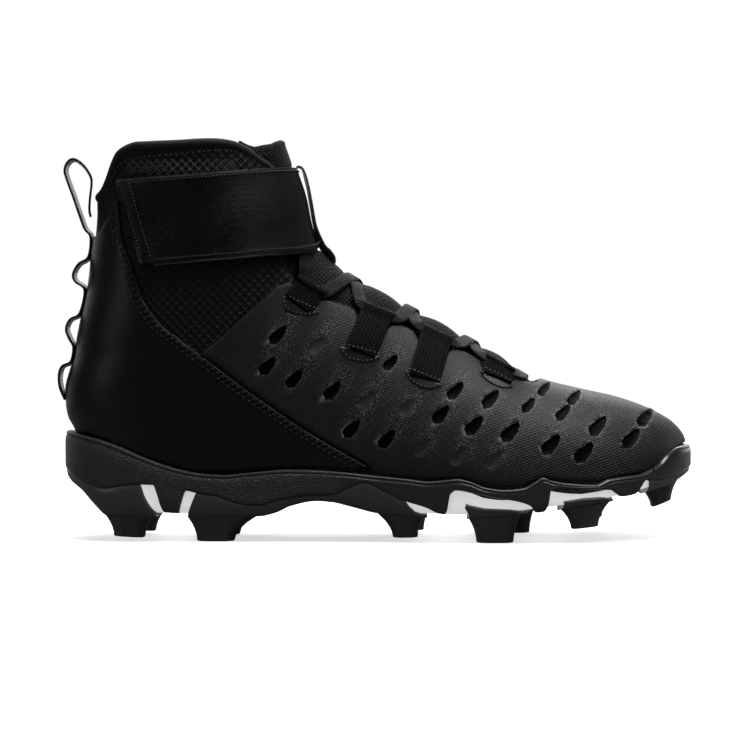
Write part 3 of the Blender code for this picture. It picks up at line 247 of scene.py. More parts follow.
def smooth_curve(rows, column=1):
    """Reads one column of a table against its first, as a curve with no overshoot."""
    x = np.array([row[0] for row in rows], float)
    y = np.array([row[column] for row in rows], float)
    gap = np.diff(x)
    slope = np.diff(y) / gap
    tangent = np.zeros_like(y)
    tangent[0], tangent[-1] = slope[0], slope[-1]
    same_way = slope[:-1] * slope[1:] > 0
    safe_a = np.where(same_way, slope[:-1], 1.0)
    safe_b = np.where(same_way, slope[1:], 1.0)
    weight_a = 2 * gap[1:] + gap[:-1]
    weight_b = gap[1:] + 2 * gap[:-1]
    mean = (weight_a + weight_b) / (weight_a / safe_a + weight_b / safe_b)
    tangent[1:-1] = np.where(same_way, mean, 0.0)

    def at(place):
        place = np.clip(np.asarray(place, float), x[0], x[-1])
        i = np.clip(np.searchsorted(x, place, side="right") - 1, 0, len(gap) - 1)
        t = (place - x[i]) / gap[i]
        return (
            y[i] * (1 + 2 * t) * (1 - t) ** 2
            + tangent[i] * gap[i] * t * (1 - t) ** 2
            + y[i + 1] * t * t * (3 - 2 * t)
            + tangent[i + 1] * gap[i] * t * t * (t - 1)
        )

    return at


def eased(value):
    """0 below 0, 1 above 1, and smooth between."""
    value = np.clip(value, 0.0, 1.0)
    return value * value * (3 - 2 * value)


def rounded(share, power=2.0):
    """A superellipse's half width, from 0 at its end to 1 at its middle."""
    share = np.clip(share, 0.0, 1.0)
    return (1 - (1 - share) ** power) ** (1 / power)


def section_column(column):
    """A column of the last's sections, as a curve against the section number."""
    rows = [(i, row[column]) for i, row in enumerate(LAST_SECTIONS) if row[column] is not None]
    return smooth_curve(rows)


ridge_along, ridge_up, foot_along, back_up, ridge_depth, roundness, collar_bend = (
    section_column(column) for column in range(7)
)
heel_back_along = smooth_curve(HEEL_BACK)
toe_front_along = smooth_curve(TOE_FRONT)
collar_edge = smooth_curve(COLLAR_EDGE)
throat_edge = smooth_curve(THROAT_EDGE)
feather_share = smooth_curve(FEATHER)
half_by_heel, half_by_ball, middle_share = (smooth_curve(OUTLINE, c) for c in (1, 2, 3))
side_top_share = smooth_curve(SIDE_TOP)


def height(share):
    """A height on the upper, from its share of the way from footbed to collar."""
    return FOOTBED_HEIGHT + share * (COLLAR_HEIGHT - FOOTBED_HEIGHT)


def height_share(z):
    return (z - FOOTBED_HEIGHT) / (COLLAR_HEIGHT - FOOTBED_HEIGHT)


def feather_height(x):
    return feather_share(x / SHOE_LENGTH) * FOOTBED_HEIGHT


def side_top(x):
    return side_top_share(x / SHOE_LENGTH) * SOLE_HEIGHT


def heel_back(z):
    return heel_back_along(height_share(z)) * SHOE_LENGTH


def sole_half_width(share):
    return half_by_heel(share) * HEEL_WIDTH + half_by_ball(share) * BALL_WIDTH


def last_point(section, turn):
    """A point on the last. turn is -1 at the outer foot edge, 0 on the ridge, 1 at
    the inner foot edge."""
    section, turn = np.broadcast_arrays(np.asarray(section, float), np.asarray(turn, float))
    way = (1 - np.cos(np.pi * np.abs(turn))) / 2
    top_x = ridge_along(section) * SHOE_LENGTH
    top_z = height(ridge_up(section))
    low_x = foot_along(section) * SHOE_LENGTH
    low_z = feather_height(low_x)
    back_z = height(back_up(section))
    behind = section > HEEL_CORNER
    tip = section < 1e-9
    low_z = np.where(behind, back_z, low_z)
    low_x = np.where(behind, heel_back(back_z), low_x)
    x = top_x + (low_x - top_x) * way
    z = top_z + (low_z - top_z) * way
    x = np.where(tip, top_x, x)
    z = np.where(tip, top_z, z)
    z = z + collar_bend(section) * COLLAR_RISE * collar_edge(way)
    ankle = eased((height_share(z) - 0.16) / 0.44)
    half = sole_half_width(x / SHOE_LENGTH) - LIP
    tuck = 1 - 0.05 * eased((way - 0.82) / 0.18) * (1 - eased((section - 10) / 2))
    half = (half + (SHAFT_WIDTH / 2 - half) * ankle) * tuck
    toe_room = toe_front_along(height_share(z)) * SHOE_LENGTH - x
    half = half * rounded(toe_room / TOE_ROUNDING)
    blunt = eased((section - 0.5) / 2.6)
    half = half * rounded(way / ridge_depth(section), roundness(section)) ** blunt
    half = half * rounded((x - heel_back(z)) / HEEL_ROUNDING)
    half = np.where(tip | (behind & (way > 1 - 1e-9)), 0.0, half)
    middle = middle_share(x / SHOE_LENGTH) * BALL_WIDTH * (1 - ankle)
    return np.stack([x, middle + np.sign(turn) * half, z], axis=-1)


def last_normal(section, turn):
    """The direction out of the last at a point on it."""
    section, turn = np.broadcast_arrays(np.asarray(section, float), np.asarray(turn, float))
    step = 2e-3
    at = np.maximum(section, 0.03)

    def around(value):
        wrapped = np.where(np.abs(value) > 1, value - 2 * np.sign(value), value)
        return np.where(at >= HEEL_CORNER, wrapped, np.clip(value, -1, 1))

    along = last_point(np.minimum(at + step, TOP_SECTION), turn)
    along = along - last_point(np.maximum(at - step, 0), turn)
    across = last_point(at, around(turn + step)) - last_point(at, around(turn - step))
    normal = np.cross(across, along)
    normal = normal / np.maximum(np.linalg.norm(normal, axis=-1, keepdims=True), 1e-12)
    return np.where((section < 1e-6)[..., None], np.array([1.0, 0.0, 0.0]), normal)


def off_last(section, turn, offset):
    offset = np.asarray(offset, float)
    return last_point(section, turn) + last_normal(section, turn) * offset[..., None]


def turn_of(way):
    """The turn whose point lies at this share of the way from ridge to foot."""
    return np.arccos(np.clip(1 - 2 * np.asarray(way, float), -1, 1)) / np.pi


def locate(x, z):
    """The section and turn of the last whose point shows at x, z from the side."""
    x, z = np.broadcast_arrays(np.asarray(x, float), np.asarray(z, float))
    shape = x.shape
    x, z = x.ravel(), z.ravel()
    sections = np.linspace(0, TOP_SECTION, 181)
    ways = np.linspace(0, 1, 41)
    net = last_point(*np.meshgrid(sections, turn_of(ways), indexing="ij"))
    net_x, net_z = net[..., 0].ravel(), net[..., 2].ravel()
    nearest = np.argmin((net_x[None] - x[:, None]) ** 2 + (net_z[None] - z[:, None]) ** 2, axis=1)
    section, way = sections[nearest // len(ways)], ways[nearest % len(ways)]
    for _ in range(12):
        here = last_point(section, turn_of(way))
        step_s = np.where(section > TOP_SECTION - 0.01, -1e-3, 1e-3)
        step_w = np.where(way > 0.99, -1e-3, 1e-3)
        by_s = (last_point(section + step_s, turn_of(way)) - here) / step_s[:, None]
        by_w = (last_point(section, turn_of(way + step_w)) - here) / step_w[:, None]
        miss_x, miss_z = x - here[:, 0], z - here[:, 2]
        area = by_s[:, 0] * by_w[:, 2] - by_s[:, 2] * by_w[:, 0]
        area = np.where(np.abs(area) < 1e-9, 1e-9, area)
        move_s = (miss_x * by_w[:, 2] - miss_z * by_w[:, 0]) / area
        move_w = (by_s[:, 0] * miss_z - by_s[:, 2] * miss_x) / area
        section = np.clip(section + np.clip(move_s, -0.5, 0.5), 0, TOP_SECTION)
        way = np.clip(way + np.clip(move_w, -0.1, 0.1), 0, 1)
    return section.reshape(shape), turn_of(way).reshape(shape)


def on_last(section, turn, lift):
    """Places in the row's frame, off the last by a lift."""
    section, turn, lift = np.broadcast_arrays(section, turn, lift)
    return off_last(section, turn, lift) + np.array(FROM_HEEL)


def grid_faces(rows, columns, start=0, flip=False):
    """Quads of a grid of points whose rows follow one another."""
    corner = start + np.arange(rows - 1)[:, None] * columns + np.arange(columns - 1)
    corner = corner.ravel()
    quads = np.stack([corner, corner + 1, corner + columns + 1, corner + columns], axis=1)
    return (quads[:, ::-1] if flip else quads).tolist()


def rim_faces(line, shift, flip=False):
    """Quads from a line of point numbers to the same line further on by a shift."""
    quads = [[a, b, b + shift, a + shift] for a, b in zip(line, line[1:])]
    return [quad[::-1] for quad in quads] if flip else quads


def add_group(name, inputs, outputs):
    """A shader node group of named values: inputs are pairs of a name and a default."""
    group = bpy.data.node_groups.new(name, "ShaderNodeTree")
    for label, default in inputs:
        socket = group.interface.new_socket(label, in_out="INPUT", socket_type="NodeSocketFloat")
        socket.default_value = default
    for label in outputs:
        group.interface.new_socket(label, in_out="OUTPUT", socket_type="NodeSocketFloat")
    start = group.nodes.new("NodeGroupInput")
    end = group.nodes.new("NodeGroupOutput")
    return group, start.outputs, end.inputs


def feed(tree, socket, value):
    """Sets a socket to a number or a colour, or links it to an output."""
    if isinstance(value, bpy.types.NodeSocket):
        tree.links.new(value, socket)
    elif isinstance(value, tuple):
        socket.default_value = (*value, 1.0)
    else:
        socket.default_value = value


def math_node(tree, operation, *values):
    """A Math node; each value is a number or an output to link."""
    node = tree.nodes.new("ShaderNodeMath")
    node.operation = operation
    for socket, value in zip(node.inputs, values):
        feed(tree, socket, value)
    return node.outputs[0]


def one_less(tree, value):
    """What a value leaves of 1."""
    return math_node(tree, "SUBTRACT", 1.0, value)


def off_middle(tree, value, pitch):
    """How far a value lies from the middle of its pitch, as a share of the pitch."""
    share = math_node(tree, "FRACT", math_node(tree, "DIVIDE", value, pitch))
    return math_node(tree, "ABSOLUTE", math_node(tree, "SUBTRACT", share, 0.5))


def smooth_step(tree, value, low, high):
    """0 at the low value, 1 at the high one, and smooth between."""
    node = tree.nodes.new("ShaderNodeMapRange")
    node.interpolation_type = "SMOOTHSTEP"
    for socket, given in zip(("Value", "From Min", "From Max"), (value, low, high)):
        feed(tree, node.inputs[socket], given)
    return node.outputs[0]


def own_place(tree, kind="Object"):
    """The object's own place, or another of the texture coordinates."""
    return tree.nodes.new("ShaderNodeTexCoord").outputs[kind]


def split_vector(tree, vector):
    """A vector's X, Y and Z outputs."""
    node = tree.nodes.new("ShaderNodeSeparateXYZ")
    tree.links.new(vector, node.inputs[0])
    return node.outputs


def wire(surface, **outputs):
    """Links outputs to the sockets of a material's shader."""
    tree = surface.node_tree
    for label, output in outputs.items():
        tree.links.new(output, tree.nodes["Principled BSDF"].inputs[label.replace("_", " ")])


def flat_space_group():
    """Millimetres along the surface, read from the side, the front or the top."""
    tree, _, end = add_group("flat_space", [], ["Across", "Up"])
    x, y, z = (math_node(tree, "MULTIPLY", v, 1000.0) for v in split_vector(tree, own_place(tree)))
    facing = split_vector(tree, own_place(tree, "Normal"))
    nx, ny, nz = (math_node(tree, "ABSOLUTE", v) for v in facing)
    from_end = math_node(tree, "GREATER_THAN", nx, ny)
    from_top = math_node(tree, "GREATER_THAN", nz, math_node(tree, "MAXIMUM", nx, ny))
    along = math_node(tree, "MULTIPLY", x, one_less(tree, from_end))
    along = math_node(tree, "ADD", along, math_node(tree, "MULTIPLY", y, from_end))
    along_top = math_node(tree, "MULTIPLY", math_node(tree, "SUBTRACT", x, along), from_top)
    up_top = math_node(tree, "MULTIPLY", math_node(tree, "SUBTRACT", y, z), from_top)
    tree.links.new(math_node(tree, "ADD", along, along_top), end["Across"])
    tree.links.new(math_node(tree, "ADD", z, up_top), end["Up"])
    return tree


def pinhole_group():
    """Round holes in staggered rows, as in a knitted mesh: 1 in a hole, 0 on the yarn."""
    tree, start, end = add_group(
        "pinholes",
        [("Across", 0.0), ("Up", 0.0), ("Pitch", 4.0), ("Row", 2.2), ("Radius", 0.9)],
        ["Hole", "Rib"],
    )
    doubled = math_node(tree, "MULTIPLY", start["Row"], 2.0)
    nearest = []
    for shift in (0.0, 0.5):
        squares = []
        for value, pitch in ((start["Across"], start["Pitch"]), (start["Up"], doubled)):
            share = math_node(tree, "ADD", math_node(tree, "DIVIDE", value, pitch), shift)
            off = math_node(tree, "SUBTRACT", math_node(tree, "FRACT", share), 0.5)
            off = math_node(tree, "MULTIPLY", off, pitch)
            squares.append(math_node(tree, "MULTIPLY", off, off))
        nearest.append(math_node(tree, "SQRT", math_node(tree, "ADD", *squares)))
    distance = math_node(tree, "MINIMUM", *nearest)
    reach = math_node(tree, "DIVIDE", distance, start["Radius"])
    tree.links.new(one_less(tree, smooth_step(tree, reach, 0.7, 1.15)), end["Hole"])
    tree.links.new(smooth_step(tree, reach, 0.9, 1.9), end["Rib"])
    return tree


FLAT_SPACE, PINHOLES = flat_space_group(), pinhole_group()


def use_group(tree, group, **values):
    """Puts a node group in a material and sets or links its inputs."""
    node = tree.nodes.new("ShaderNodeGroup")
    node.node_tree = group
    for label, value in values.items():
        feed(tree, node.inputs[label], value)
    return node.outputs


def mix_colour(tree, share, first, second):
    """The first colour where the share is 0, the second where it is 1."""
    node = tree.nodes.new("ShaderNodeMix")
    node.data_type = "RGBA"
    for label, given in (("Factor", share), ("A", first), ("B", second)):
        feed(tree, node.inputs[label], given)
    return node.outputs["Result"]


def bump_from(tree, relief, distance):
    """A normal from a relief of 0 to 1 that stands for this distance."""
    node = tree.nodes.new("ShaderNodeBump")
    node.inputs["Distance"].default_value = distance
    node.inputs["Strength"].default_value = 1.0
    tree.links.new(relief, node.inputs["Height"])
    return node.outputs["Normal"]


def noise(tree, scale, detail=2.0, stretch=None, distortion=0.0):
    """Noise from the object's own place; scale is per metre."""
    node = tree.nodes.new("ShaderNodeTexNoise")
    node.inputs["Distortion"].default_value = distortion
    node.inputs["Scale"].default_value = scale
    node.inputs["Detail"].default_value = detail
    place = own_place(tree)
    if stretch:
        scaled = tree.nodes.new("ShaderNodeVectorMath")
        scaled.operation = "MULTIPLY"
        scaled.inputs[1].default_value = stretch
        tree.links.new(place, scaled.inputs[0])
        place = scaled.outputs[0]
    tree.links.new(place, node.inputs["Vector"])
    return node.outputs["Fac"]


def mesh_material(name, yarn, pit, pitch, row, radius, roughness, depth):
    """Knitted mesh with pinholes; pitch, row and radius are in millimetres."""
    made = simple_material(name, yarn, roughness, Specular_IOR_Level=0.3)
    tree = made.node_tree
    space = use_group(tree, FLAT_SPACE)
    holes = use_group(
        tree, PINHOLES, Across=space["Across"], Up=space["Up"], Pitch=pitch, Row=row, Radius=radius
    )
    fuzz = math_node(tree, "MULTIPLY", noise(tree, 2600.0), 0.35)
    relief = math_node(tree, "ADD", holes["Rib"], fuzz)
    colour = mix_colour(tree, holes["Hole"], yarn, pit)
    wire(made, Base_Color=colour, Normal=bump_from(tree, relief, depth))
    return made


MESH_YARN, MESH_PIT = (0.002, 0.002, 0.0022), (0.0003, 0.0003, 0.0003)
BOOTIE_MESH = mesh_material("bootie_mesh", MESH_YARN, MESH_PIT, 4.1, 2.1, 0.95, 0.6, 0.00045)
# One open row of the knit runs round under the collar; the numbers are millimetres
OPEN_ROW, OPEN_PITCH = 169.1, 3.75
tree = BOOTIE_MESH.node_tree
space = use_group(tree, FLAT_SPACE)
yarns = []
for slant in (1.0, -1.0):
    rise = math_node(tree, "MULTIPLY", math_node(tree, "SUBTRACT", space["Up"], OPEN_ROW), slant)
    value = off_middle(tree, math_node(tree, "ADD", space["Across"], rise), OPEN_PITCH)
    yarns.append(one_less(tree, smooth_step(tree, value, 0.09, 0.20)))
zone = smooth_step(tree, space["Up"], OPEN_ROW - 2.6, OPEN_ROW - 0.2)
for limit in (
    one_less(tree, smooth_step(tree, space["Up"], OPEN_ROW + 4.0, OPEN_ROW + 4.4)),
    smooth_step(tree, space["Across"], -115.0, -112.0),
    one_less(tree, smooth_step(tree, space["Across"], -66.0, -62.0)),
):
    zone = math_node(tree, "MULTIPLY", zone, limit)
plain = tree.nodes["Principled BSDF"].inputs["Base Color"].links[0].from_socket
open_knit = mix_colour(tree, math_node(tree, "MAXIMUM", *yarns), MESH_PIT, (0.060, 0.060, 0.062))
wire(BOOTIE_MESH, Base_Color=mix_colour(tree, zone, plain, open_knit))
LINING = simple_material("lining", (0.006, 0.006, 0.0065), 0.9)


def bootie():
    """Outer and inner faces of the wall, with rims at collar, throat and foot."""
    sections = np.concatenate([
        np.linspace(0, 3, 19)[:-1], np.linspace(3, 7, 25)[:-1], np.linspace(7, 7.4, 9)[:-1],
        np.linspace(7.4, 12, 33)[:-1], np.linspace(12, 14, 25)[:-1],
        np.linspace(14, TOP_SECTION, 41),
    ])
    columns = 46
    even = np.linspace(0, 1, columns)
    share = even - 0.4 * np.sin(2 * np.pi * even) / (2 * np.pi)
    points, faces, indices = [], [], []
    for side in (-1, 1):
        tuck = 0.012 * eased((sections - 7.0) / 0.3) * (1 - eased((sections - 11.8) / 0.8))
        start = (throat_edge(sections) + tuck)[:, None]
        turns = side * (start + (1 - start) * share)
        first, shift, quads = len(points), turns.size, (len(sections) - 1) * (columns - 1)
        for lift in (0.0, -WALL):
            points += on_last(sections[:, None], turns, lift).reshape(-1, 3).tolist()
        faces += grid_faces(len(sections), columns, first, side > 0)
        faces += grid_faces(len(sections), columns, first + shift, side < 0)
        indices += [0] * quads + [1] * quads
        numbers = first + np.arange(shift).reshape(turns.shape)
        for line in (numbers[:, 0], numbers[:, -1], numbers[-1]):
            faces += rim_faces(line.tolist(), shift)
            indices += [0] * (len(line) - 1)
    return add_mesh("bootie", points, faces, [BOOTIE_MESH, LINING], indices)


upper = bootie()
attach(upper, "root")
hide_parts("upper")

# Quarter panels and vamp skin: smooth synthetic cut and moulded over the bootie and
# glued down. The vamp skin is embossed with a fine grid and holed by slanted windows.
PANEL_LOW, PANEL_THICK, PANEL_EDGE, GIRTH = 0.0002, 0.0012, 0.0011, 0.085
FLAT_SECTIONS, FLAT_TURN = np.linspace(0, TOP_SECTION, 361), 0.45


def run_along(line):
    """The length along a line up to each of its points."""
    return np.concatenate([[0], np.cumsum(np.linalg.norm(np.diff(line, axis=0), axis=1))])


FLAT_REACH = run_along(last_point(FLAT_SECTIONS, FLAT_TURN))


def to_flat(line):
    """Lays (section, turn) pairs out flat, about true to size."""
    line = np.asarray(line, float)
    return np.stack([np.interp(line[:, 0], FLAT_SECTIONS, FLAT_REACH), line[:, 1] * GIRTH], axis=1)


def from_flat(flat):
    """Sections and turns of places on the flat."""
    return np.stack([np.interp(flat[:, 0], FLAT_REACH, FLAT_SECTIONS), flat[:, 1] / GIRTH], axis=1)


def inside_loop(points, loop):
    """Which points lie inside a closed loop, by crossings."""
    loop = np.asarray(loop)
    found = np.zeros(len(points), bool)
    for (ax, ay), (bx, by) in zip(loop, np.roll(loop, -1, axis=0)):
        if ay == by:
            continue
        crosses = (points[:, 1] < ay) != (points[:, 1] < by)
        at = ax + (points[:, 1] - ay) / (by - ay) * (bx - ax)
        found ^= crosses & (points[:, 0] < at)
    return found


def loop_distance(points, loop):
    """Distance from each point to a closed loop's nearest side."""
    loop = np.asarray(loop)
    best = np.full(len(points), 9.0)
    for a, b in zip(loop, np.roll(loop, -1, axis=0)):
        side = b - a
        size = max(float(side @ side), 1e-18)
        share = np.clip(((points - a) @ side) / size, 0, 1)
        best = np.minimum(best, np.linalg.norm(points - a - share[:, None] * side, axis=1))
    return best


def even_loop(loop, step):
    """A closed loop with its sides split to about this step."""
    out = []
    for a, b in zip(loop, np.roll(loop, -1, axis=0)):
        count = max(1, int(round(np.linalg.norm(b - a) / step)))
        out += [a + (b - a) * i / count for i in range(count)]
    return np.array(out)


def shrunk_loop(loop, inset):
    """A convex loop drawn in by an inset."""
    loop = np.asarray(loop)
    middle = loop.mean(axis=0)
    reach = np.linalg.norm(loop - middle, axis=1, keepdims=True)
    return middle + (loop - middle) * np.maximum(1 - inset / reach, 0.2)


def cut_flat(outline, windows, step, edge, floor_inset):
    """Triangles inside an outline, its windows' floors marked by number. Points are flat."""
    outline = even_loop(np.asarray(outline), step * 0.6)
    rings, loops = [outline], [even_loop(np.asarray(w), step * 0.7) for w in windows]
    floors = [shrunk_loop(loop, floor_inset) for loop in loops]
    inner = []
    for start, end in zip(outline, np.roll(outline, -1, axis=0)):
        side = end - start
        length = max(np.linalg.norm(side), 1e-12)
        across = np.array([-side[1], side[0]]) / length
        for reach in edge:
            inner += [start + side / 2 + across * reach, start + side / 2 - across * reach]
    inner = np.array(inner)
    inner = inner[inside_loop(inner, outline)]
    far = loop_distance(inner, outline)
    inner = inner[far > min(edge) * 0.8]
    low, high = outline.min(axis=0), outline.max(axis=0)
    rows = int((high[1] - low[1]) / (step * 0.87)) + 2
    columns = int((high[0] - low[0]) / step) + 2
    u, v = np.meshgrid(np.arange(columns), np.arange(rows))
    lattice = np.stack([low[0] + (u + 0.5 * (v % 2)) * step, low[1] + v * step * 0.87], axis=-1)
    lattice = lattice.reshape(-1, 2)
    lattice = lattice[inside_loop(lattice, outline)]
    lattice = lattice[loop_distance(lattice, outline) > max(edge) + step * 0.45]
    free = np.concatenate([inner, lattice])
    for loop in loops:
        keep = loop_distance(free, loop) > step * 0.38
        within = inside_loop(free, loop)
        keep &= ~(within & (loop_distance(free, loop) < floor_inset + step * 0.35))
        free = free[keep]
    places, edges = [], []
    for ring in rings + loops + floors:
        first = len(places)
        places += [Vector(p) for p in ring]
        edges += [(first + i, first + (i + 1) % len(ring)) for i in range(len(ring))]
    places += [Vector(p) for p in free]
    points, _, faces, *_ = geometry.delaunay_2d_cdt(places, edges, [], 0, 1e-7)
    points = np.array([tuple(p) for p in points])
    faces = [f for f in faces if len(f) == 3]
    middles = np.array([points[list(f)].mean(axis=0) for f in faces])
    keep = inside_loop(middles, outline)
    faces = np.array(faces)[keep]
    middles = middles[keep]
    marked = np.zeros(len(faces), int)
    for number, loop in enumerate(loops, 1):
        marked[inside_loop(middles, loop)] = number
    used = np.unique(faces)
    order = np.full(len(points), -1)
    order[used] = np.arange(len(used))
    return points[used], order[faces], marked, outline, loops


def overlay(name, outline, windows, surfaces, step, thick=PANEL_THICK):
    """A skin over the last inside an outline of (section, turn). Each window pressed into
    it is a loop, a depth and the number of its floor's material."""
    flat, faces, marked, edge_loop, loops = cut_flat(
        to_flat(outline), [to_flat(w[0]) for w in windows], step, (0.0005, 0.0012), 0.0005
    )
    floor_of = np.array([0] + [w[2] for w in windows])
    places = from_flat(flat)
    rim = on_last(*from_flat(edge_loop).T, 0.0)
    tree = kdtree.KDTree(len(rim) * 3)
    for i, (a, b) in enumerate(zip(rim, np.roll(rim, -1, axis=0))):
        for j in range(3):
            tree.insert(a + (b - a) * j / 3, i * 3 + j)
    tree.balance()
    ground = on_last(*places.T, 0.0)
    reach = np.array([tree.find(p)[2] for p in ground])
    share = np.clip(reach / PANEL_EDGE, 0, 1)
    lift = PANEL_LOW + thick * np.sqrt(1 - (1 - share) ** 2)
    speckle, lit_edge = np.zeros(len(flat)), np.zeros(len(flat))
    for loop, (window, depth, _) in zip(loops, windows):
        near = loop_distance(flat, loop)
        within = inside_loop(flat, loop)
        lip = np.exp(-(near / 0.0009) ** 2) * 0.00018
        lift = np.where(within, lift - depth * eased(near / 0.0005), lift + lip)
        corners = to_flat(window)
        fan = corners.mean(axis=0) + (corners[5] - corners[1]) * 0.45
        speckle += np.exp(-((np.linalg.norm(flat - fan, axis=1) / 0.0048) ** 2))
        # Painted highlight: lit_edge lightens a thin rim just outside each deep window, on its upper-left
        # side.
        away, upper = flat - corners.mean(axis=0), corners[7] - corners.mean(axis=0)
        sizes = np.linalg.norm(away, axis=1) * np.linalg.norm(upper)
        facing = away @ upper / np.maximum(sizes, 1e-12)
        lit = np.exp(-((near / 0.0005) ** 2)) * eased((facing - 0.35) / 0.3) * ~within
        lit_edge = np.maximum(lit_edge, lit * (depth > 0.0005))
    made = add_mesh(
        name, on_last(*places.T, lift), faces[:, ::-1].tolist(), surfaces, floor_of[marked]
    )
    if windows:
        for label, values in (("speckle", np.clip(speckle, 0, 1)), ("lit_edge", lit_edge)):
            made.data.attributes.new(label, "FLOAT", "POINT").data.foreach_set("value", values)
    return made


def located(line):
    """Side-view places, as shares of the shoe's length and of the upper's height."""
    x, z = np.array(line, float).T
    return list(zip(*locate(x * SHOE_LENGTH, height(z))))


def spread(line, count):
    """A line's points at even lengths along it."""
    line = np.array(line, float)
    reach = run_along(line)
    at = np.linspace(0, reach[-1], count)
    return [tuple(np.interp(v, reach, line[:, c]) for c in (0, 1)) for v in at]


def above_sole(shares, gap=0.0006):
    """Side-view places just over the sole's top edge."""
    return [(share, height_share(float(side_top(share * SHOE_LENGTH)) + gap)) for share in shares]


def photo_place(columns, rows):
    """Sections and turns of the last that show at these places of the photo."""
    columns, rows = np.asarray(columns, float), np.asarray(rows, float)
    nearer = np.full(columns.shape, 0.040)
    for _ in range(4):
        scale = FOCAL_PIXELS / (CAMERA_DISTANCE - nearer)
        x = CAMERA_ALONG + (columns - CENTRE_COLUMN) / scale
        z = CAMERA_HEIGHT - (rows - HORIZON_ROW) / scale
        section, turn = locate(x, z)
        nearer = -last_point(section, -turn)[..., 1]
    return section, turn


# The quarter's stitched front edge, as shares of the length and the upper's height
SEAM = (
    (0.092, 0.829), (0.0985, 0.714), (0.119, 0.613), (0.130, 0.542), (0.158, 0.470),
    (0.220, 0.384), (0.298, 0.275), (0.376, 0.175), (0.439, 0.107), (0.480, 0.066),
)
VAMP_REAR = ((0.229, 0.399), (0.267, 0.461), (0.317, 0.542), (0.354, 0.608))


def grid_group():
    """A fine square grid pressed into a skin: 1 on the raised dots, 0 in the lines."""
    tree, start, end = add_group(
        "pressed_grid", [("Across", 0.0), ("Up", 0.0), ("Pitch", 1.25)], ["Dot"]
    )
    share = []
    for first, second, slant in (("Across", "Up", 0.35), ("Up", "Across", -0.35)):
        turned = math_node(tree, "MULTIPLY", start[second], slant)
        value = math_node(tree, "ADD", start[first], turned)
        value = off_middle(tree, value, start["Pitch"])
        share.append(smooth_step(tree, math_node(tree, "SUBTRACT", 0.5, value), 0.03, 0.24))
    tree.links.new(math_node(tree, "MULTIPLY", *share), end["Dot"])
    return tree


PRESSED_GRID = grid_group()


SKIN_COLOUR = (0.013, 0.013, 0.0135)
SKIN_BLACK = simple_material("vamp_skin_black", SKIN_COLOUR, 0.46, Specular_IOR_Level=0.42)
tree = SKIN_BLACK.node_tree
space = use_group(tree, FLAT_SPACE)
grid = use_group(tree, PRESSED_GRID, Across=space["Across"], Up=space["Up"])
soft = math_node(tree, "MULTIPLY", noise(tree, 900.0), 0.5)
skin_relief = bump_from(tree, math_node(tree, "ADD", grid["Dot"], soft), 0.00015)
dots = math_node(tree, "GREATER_THAN", noise(tree, 1500.0, 0.0), 0.59)
masks = []
for label in ("speckle", "lit_edge"):
    mask = tree.nodes.new("ShaderNodeAttribute")
    mask.attribute_name = label
    masks.append(mask.outputs["Fac"])
speckled = math_node(tree, "MULTIPLY", dots, masks[0])
specked = mix_colour(tree, speckled, SKIN_COLOUR, (0.16, 0.16, 0.163))
# Painted highlight: the deep windows' upper-left rims are coloured lighter.
with_edge_highlight = mix_colour(tree, masks[1], specked, (0.20, 0.20, 0.203))
wire(SKIN_BLACK, Base_Color=with_edge_highlight, Normal=skin_relief)
FLOOR_COLOUR, QUARTER_COLOUR = (0.0006, 0.0006, 0.0006), (0.003, 0.003, 0.0032)
WINDOW_FLOOR = simple_material("window_floor", FLOOR_COLOUR, 0.6, Specular_IOR_Level=0.06)
WINDOW_GREY = simple_material("window_grey", (0.028, 0.028, 0.028), 0.5)
QUARTER_BLACK = simple_material("quarter_black", QUARTER_COLOUR, 0.40, Specular_IOR_Level=0.35)
tree = QUARTER_BLACK.node_tree
wire(QUARTER_BLACK, Normal=bump_from(tree, noise(tree, 1400.0, 3.0), 0.00012))

seam_line = located(spread(SEAM, 41))
quarter_low = located(above_sole(
    (0.462, 0.43, 0.39, 0.35, 0.31, 0.27, 0.23, 0.19, 0.15, 0.11, 0.075, 0.045, 0.022)
))
heel_line = [(s, 0.985) for s in np.linspace(14.30, 17.25, 14)]
quarter_outline = seam_line + quarter_low + heel_line
for side, name in ((-1, "quarter_outer"), (1, "quarter_inner")):
    panel = overlay(
        name + "_panel", [(s, t * side) for s, t in quarter_outline][::side], [],
        [QUARTER_BLACK], 0.0024,
    )
    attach(panel, "root")
    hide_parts(name)

# The lace loops, from the front one back: section at the throat, reach down from it
LOOPS = ((7.85, 0.0095), (9.02, 0.0235), (10.13, 0.0215), (11.68, 0.0105))
# Window centres on the photo, with their size by the common one
WINDOWS = (
    (237.5, 354.8, 1.0), (277.0, 335.5, 1.0), (267.0, 366.0, 1.0), (294.0, 379.0, 1.0),
    (332.0, 391.0, 1.0), (287.0, 401.0, 0.9), (315.0, 417.5, 0.9), (351.4, 429.0, 1.0),
    (386.8, 439.5, 1.0), (389.7, 364.0, 0.85), (454.7, 392.6, 0.95), (440.4, 415.6, 1.0),
    (489.5, 401.0, 1.0), (473.5, 427.0, 1.05), (509.5, 433.5, 1.1), (527.4, 407.5, 0.8),
    (543.0, 392.0, 0.75), (573.0, 400.6, 0.8), (562.0, 415.2, 0.85), (530.0, 473.5, 0.9),
    (550.0, 446.0, 1.1), (582.6, 454.0, 1.1), (596.4, 428.2, 1.05), (608.4, 467.8, 1.1),
    (629.0, 440.2, 1.05), (642.9, 420.4, 0.95), (656.7, 456.6, 1.05), (377.0, 465.0, 0.9),
    (412.6, 471.0, 0.9), (316.0, 346.0, 1.0), (366.7, 400.3, 1.0), (406.9, 407.9, 1.0),
    (422.0, 448.0, 1.0), (458.5, 456.7, 1.0), (494.0, 460.5, 1.0),
)
WINDOW_CORNERS = np.array([
    (-9, 2.5), (-6.2, 9), (0.5, 8.6), (6.8, 0.5), (9, -6.5), (7.6, -9.6), (3.5, -8.2), (-5.5, -2),
], float)
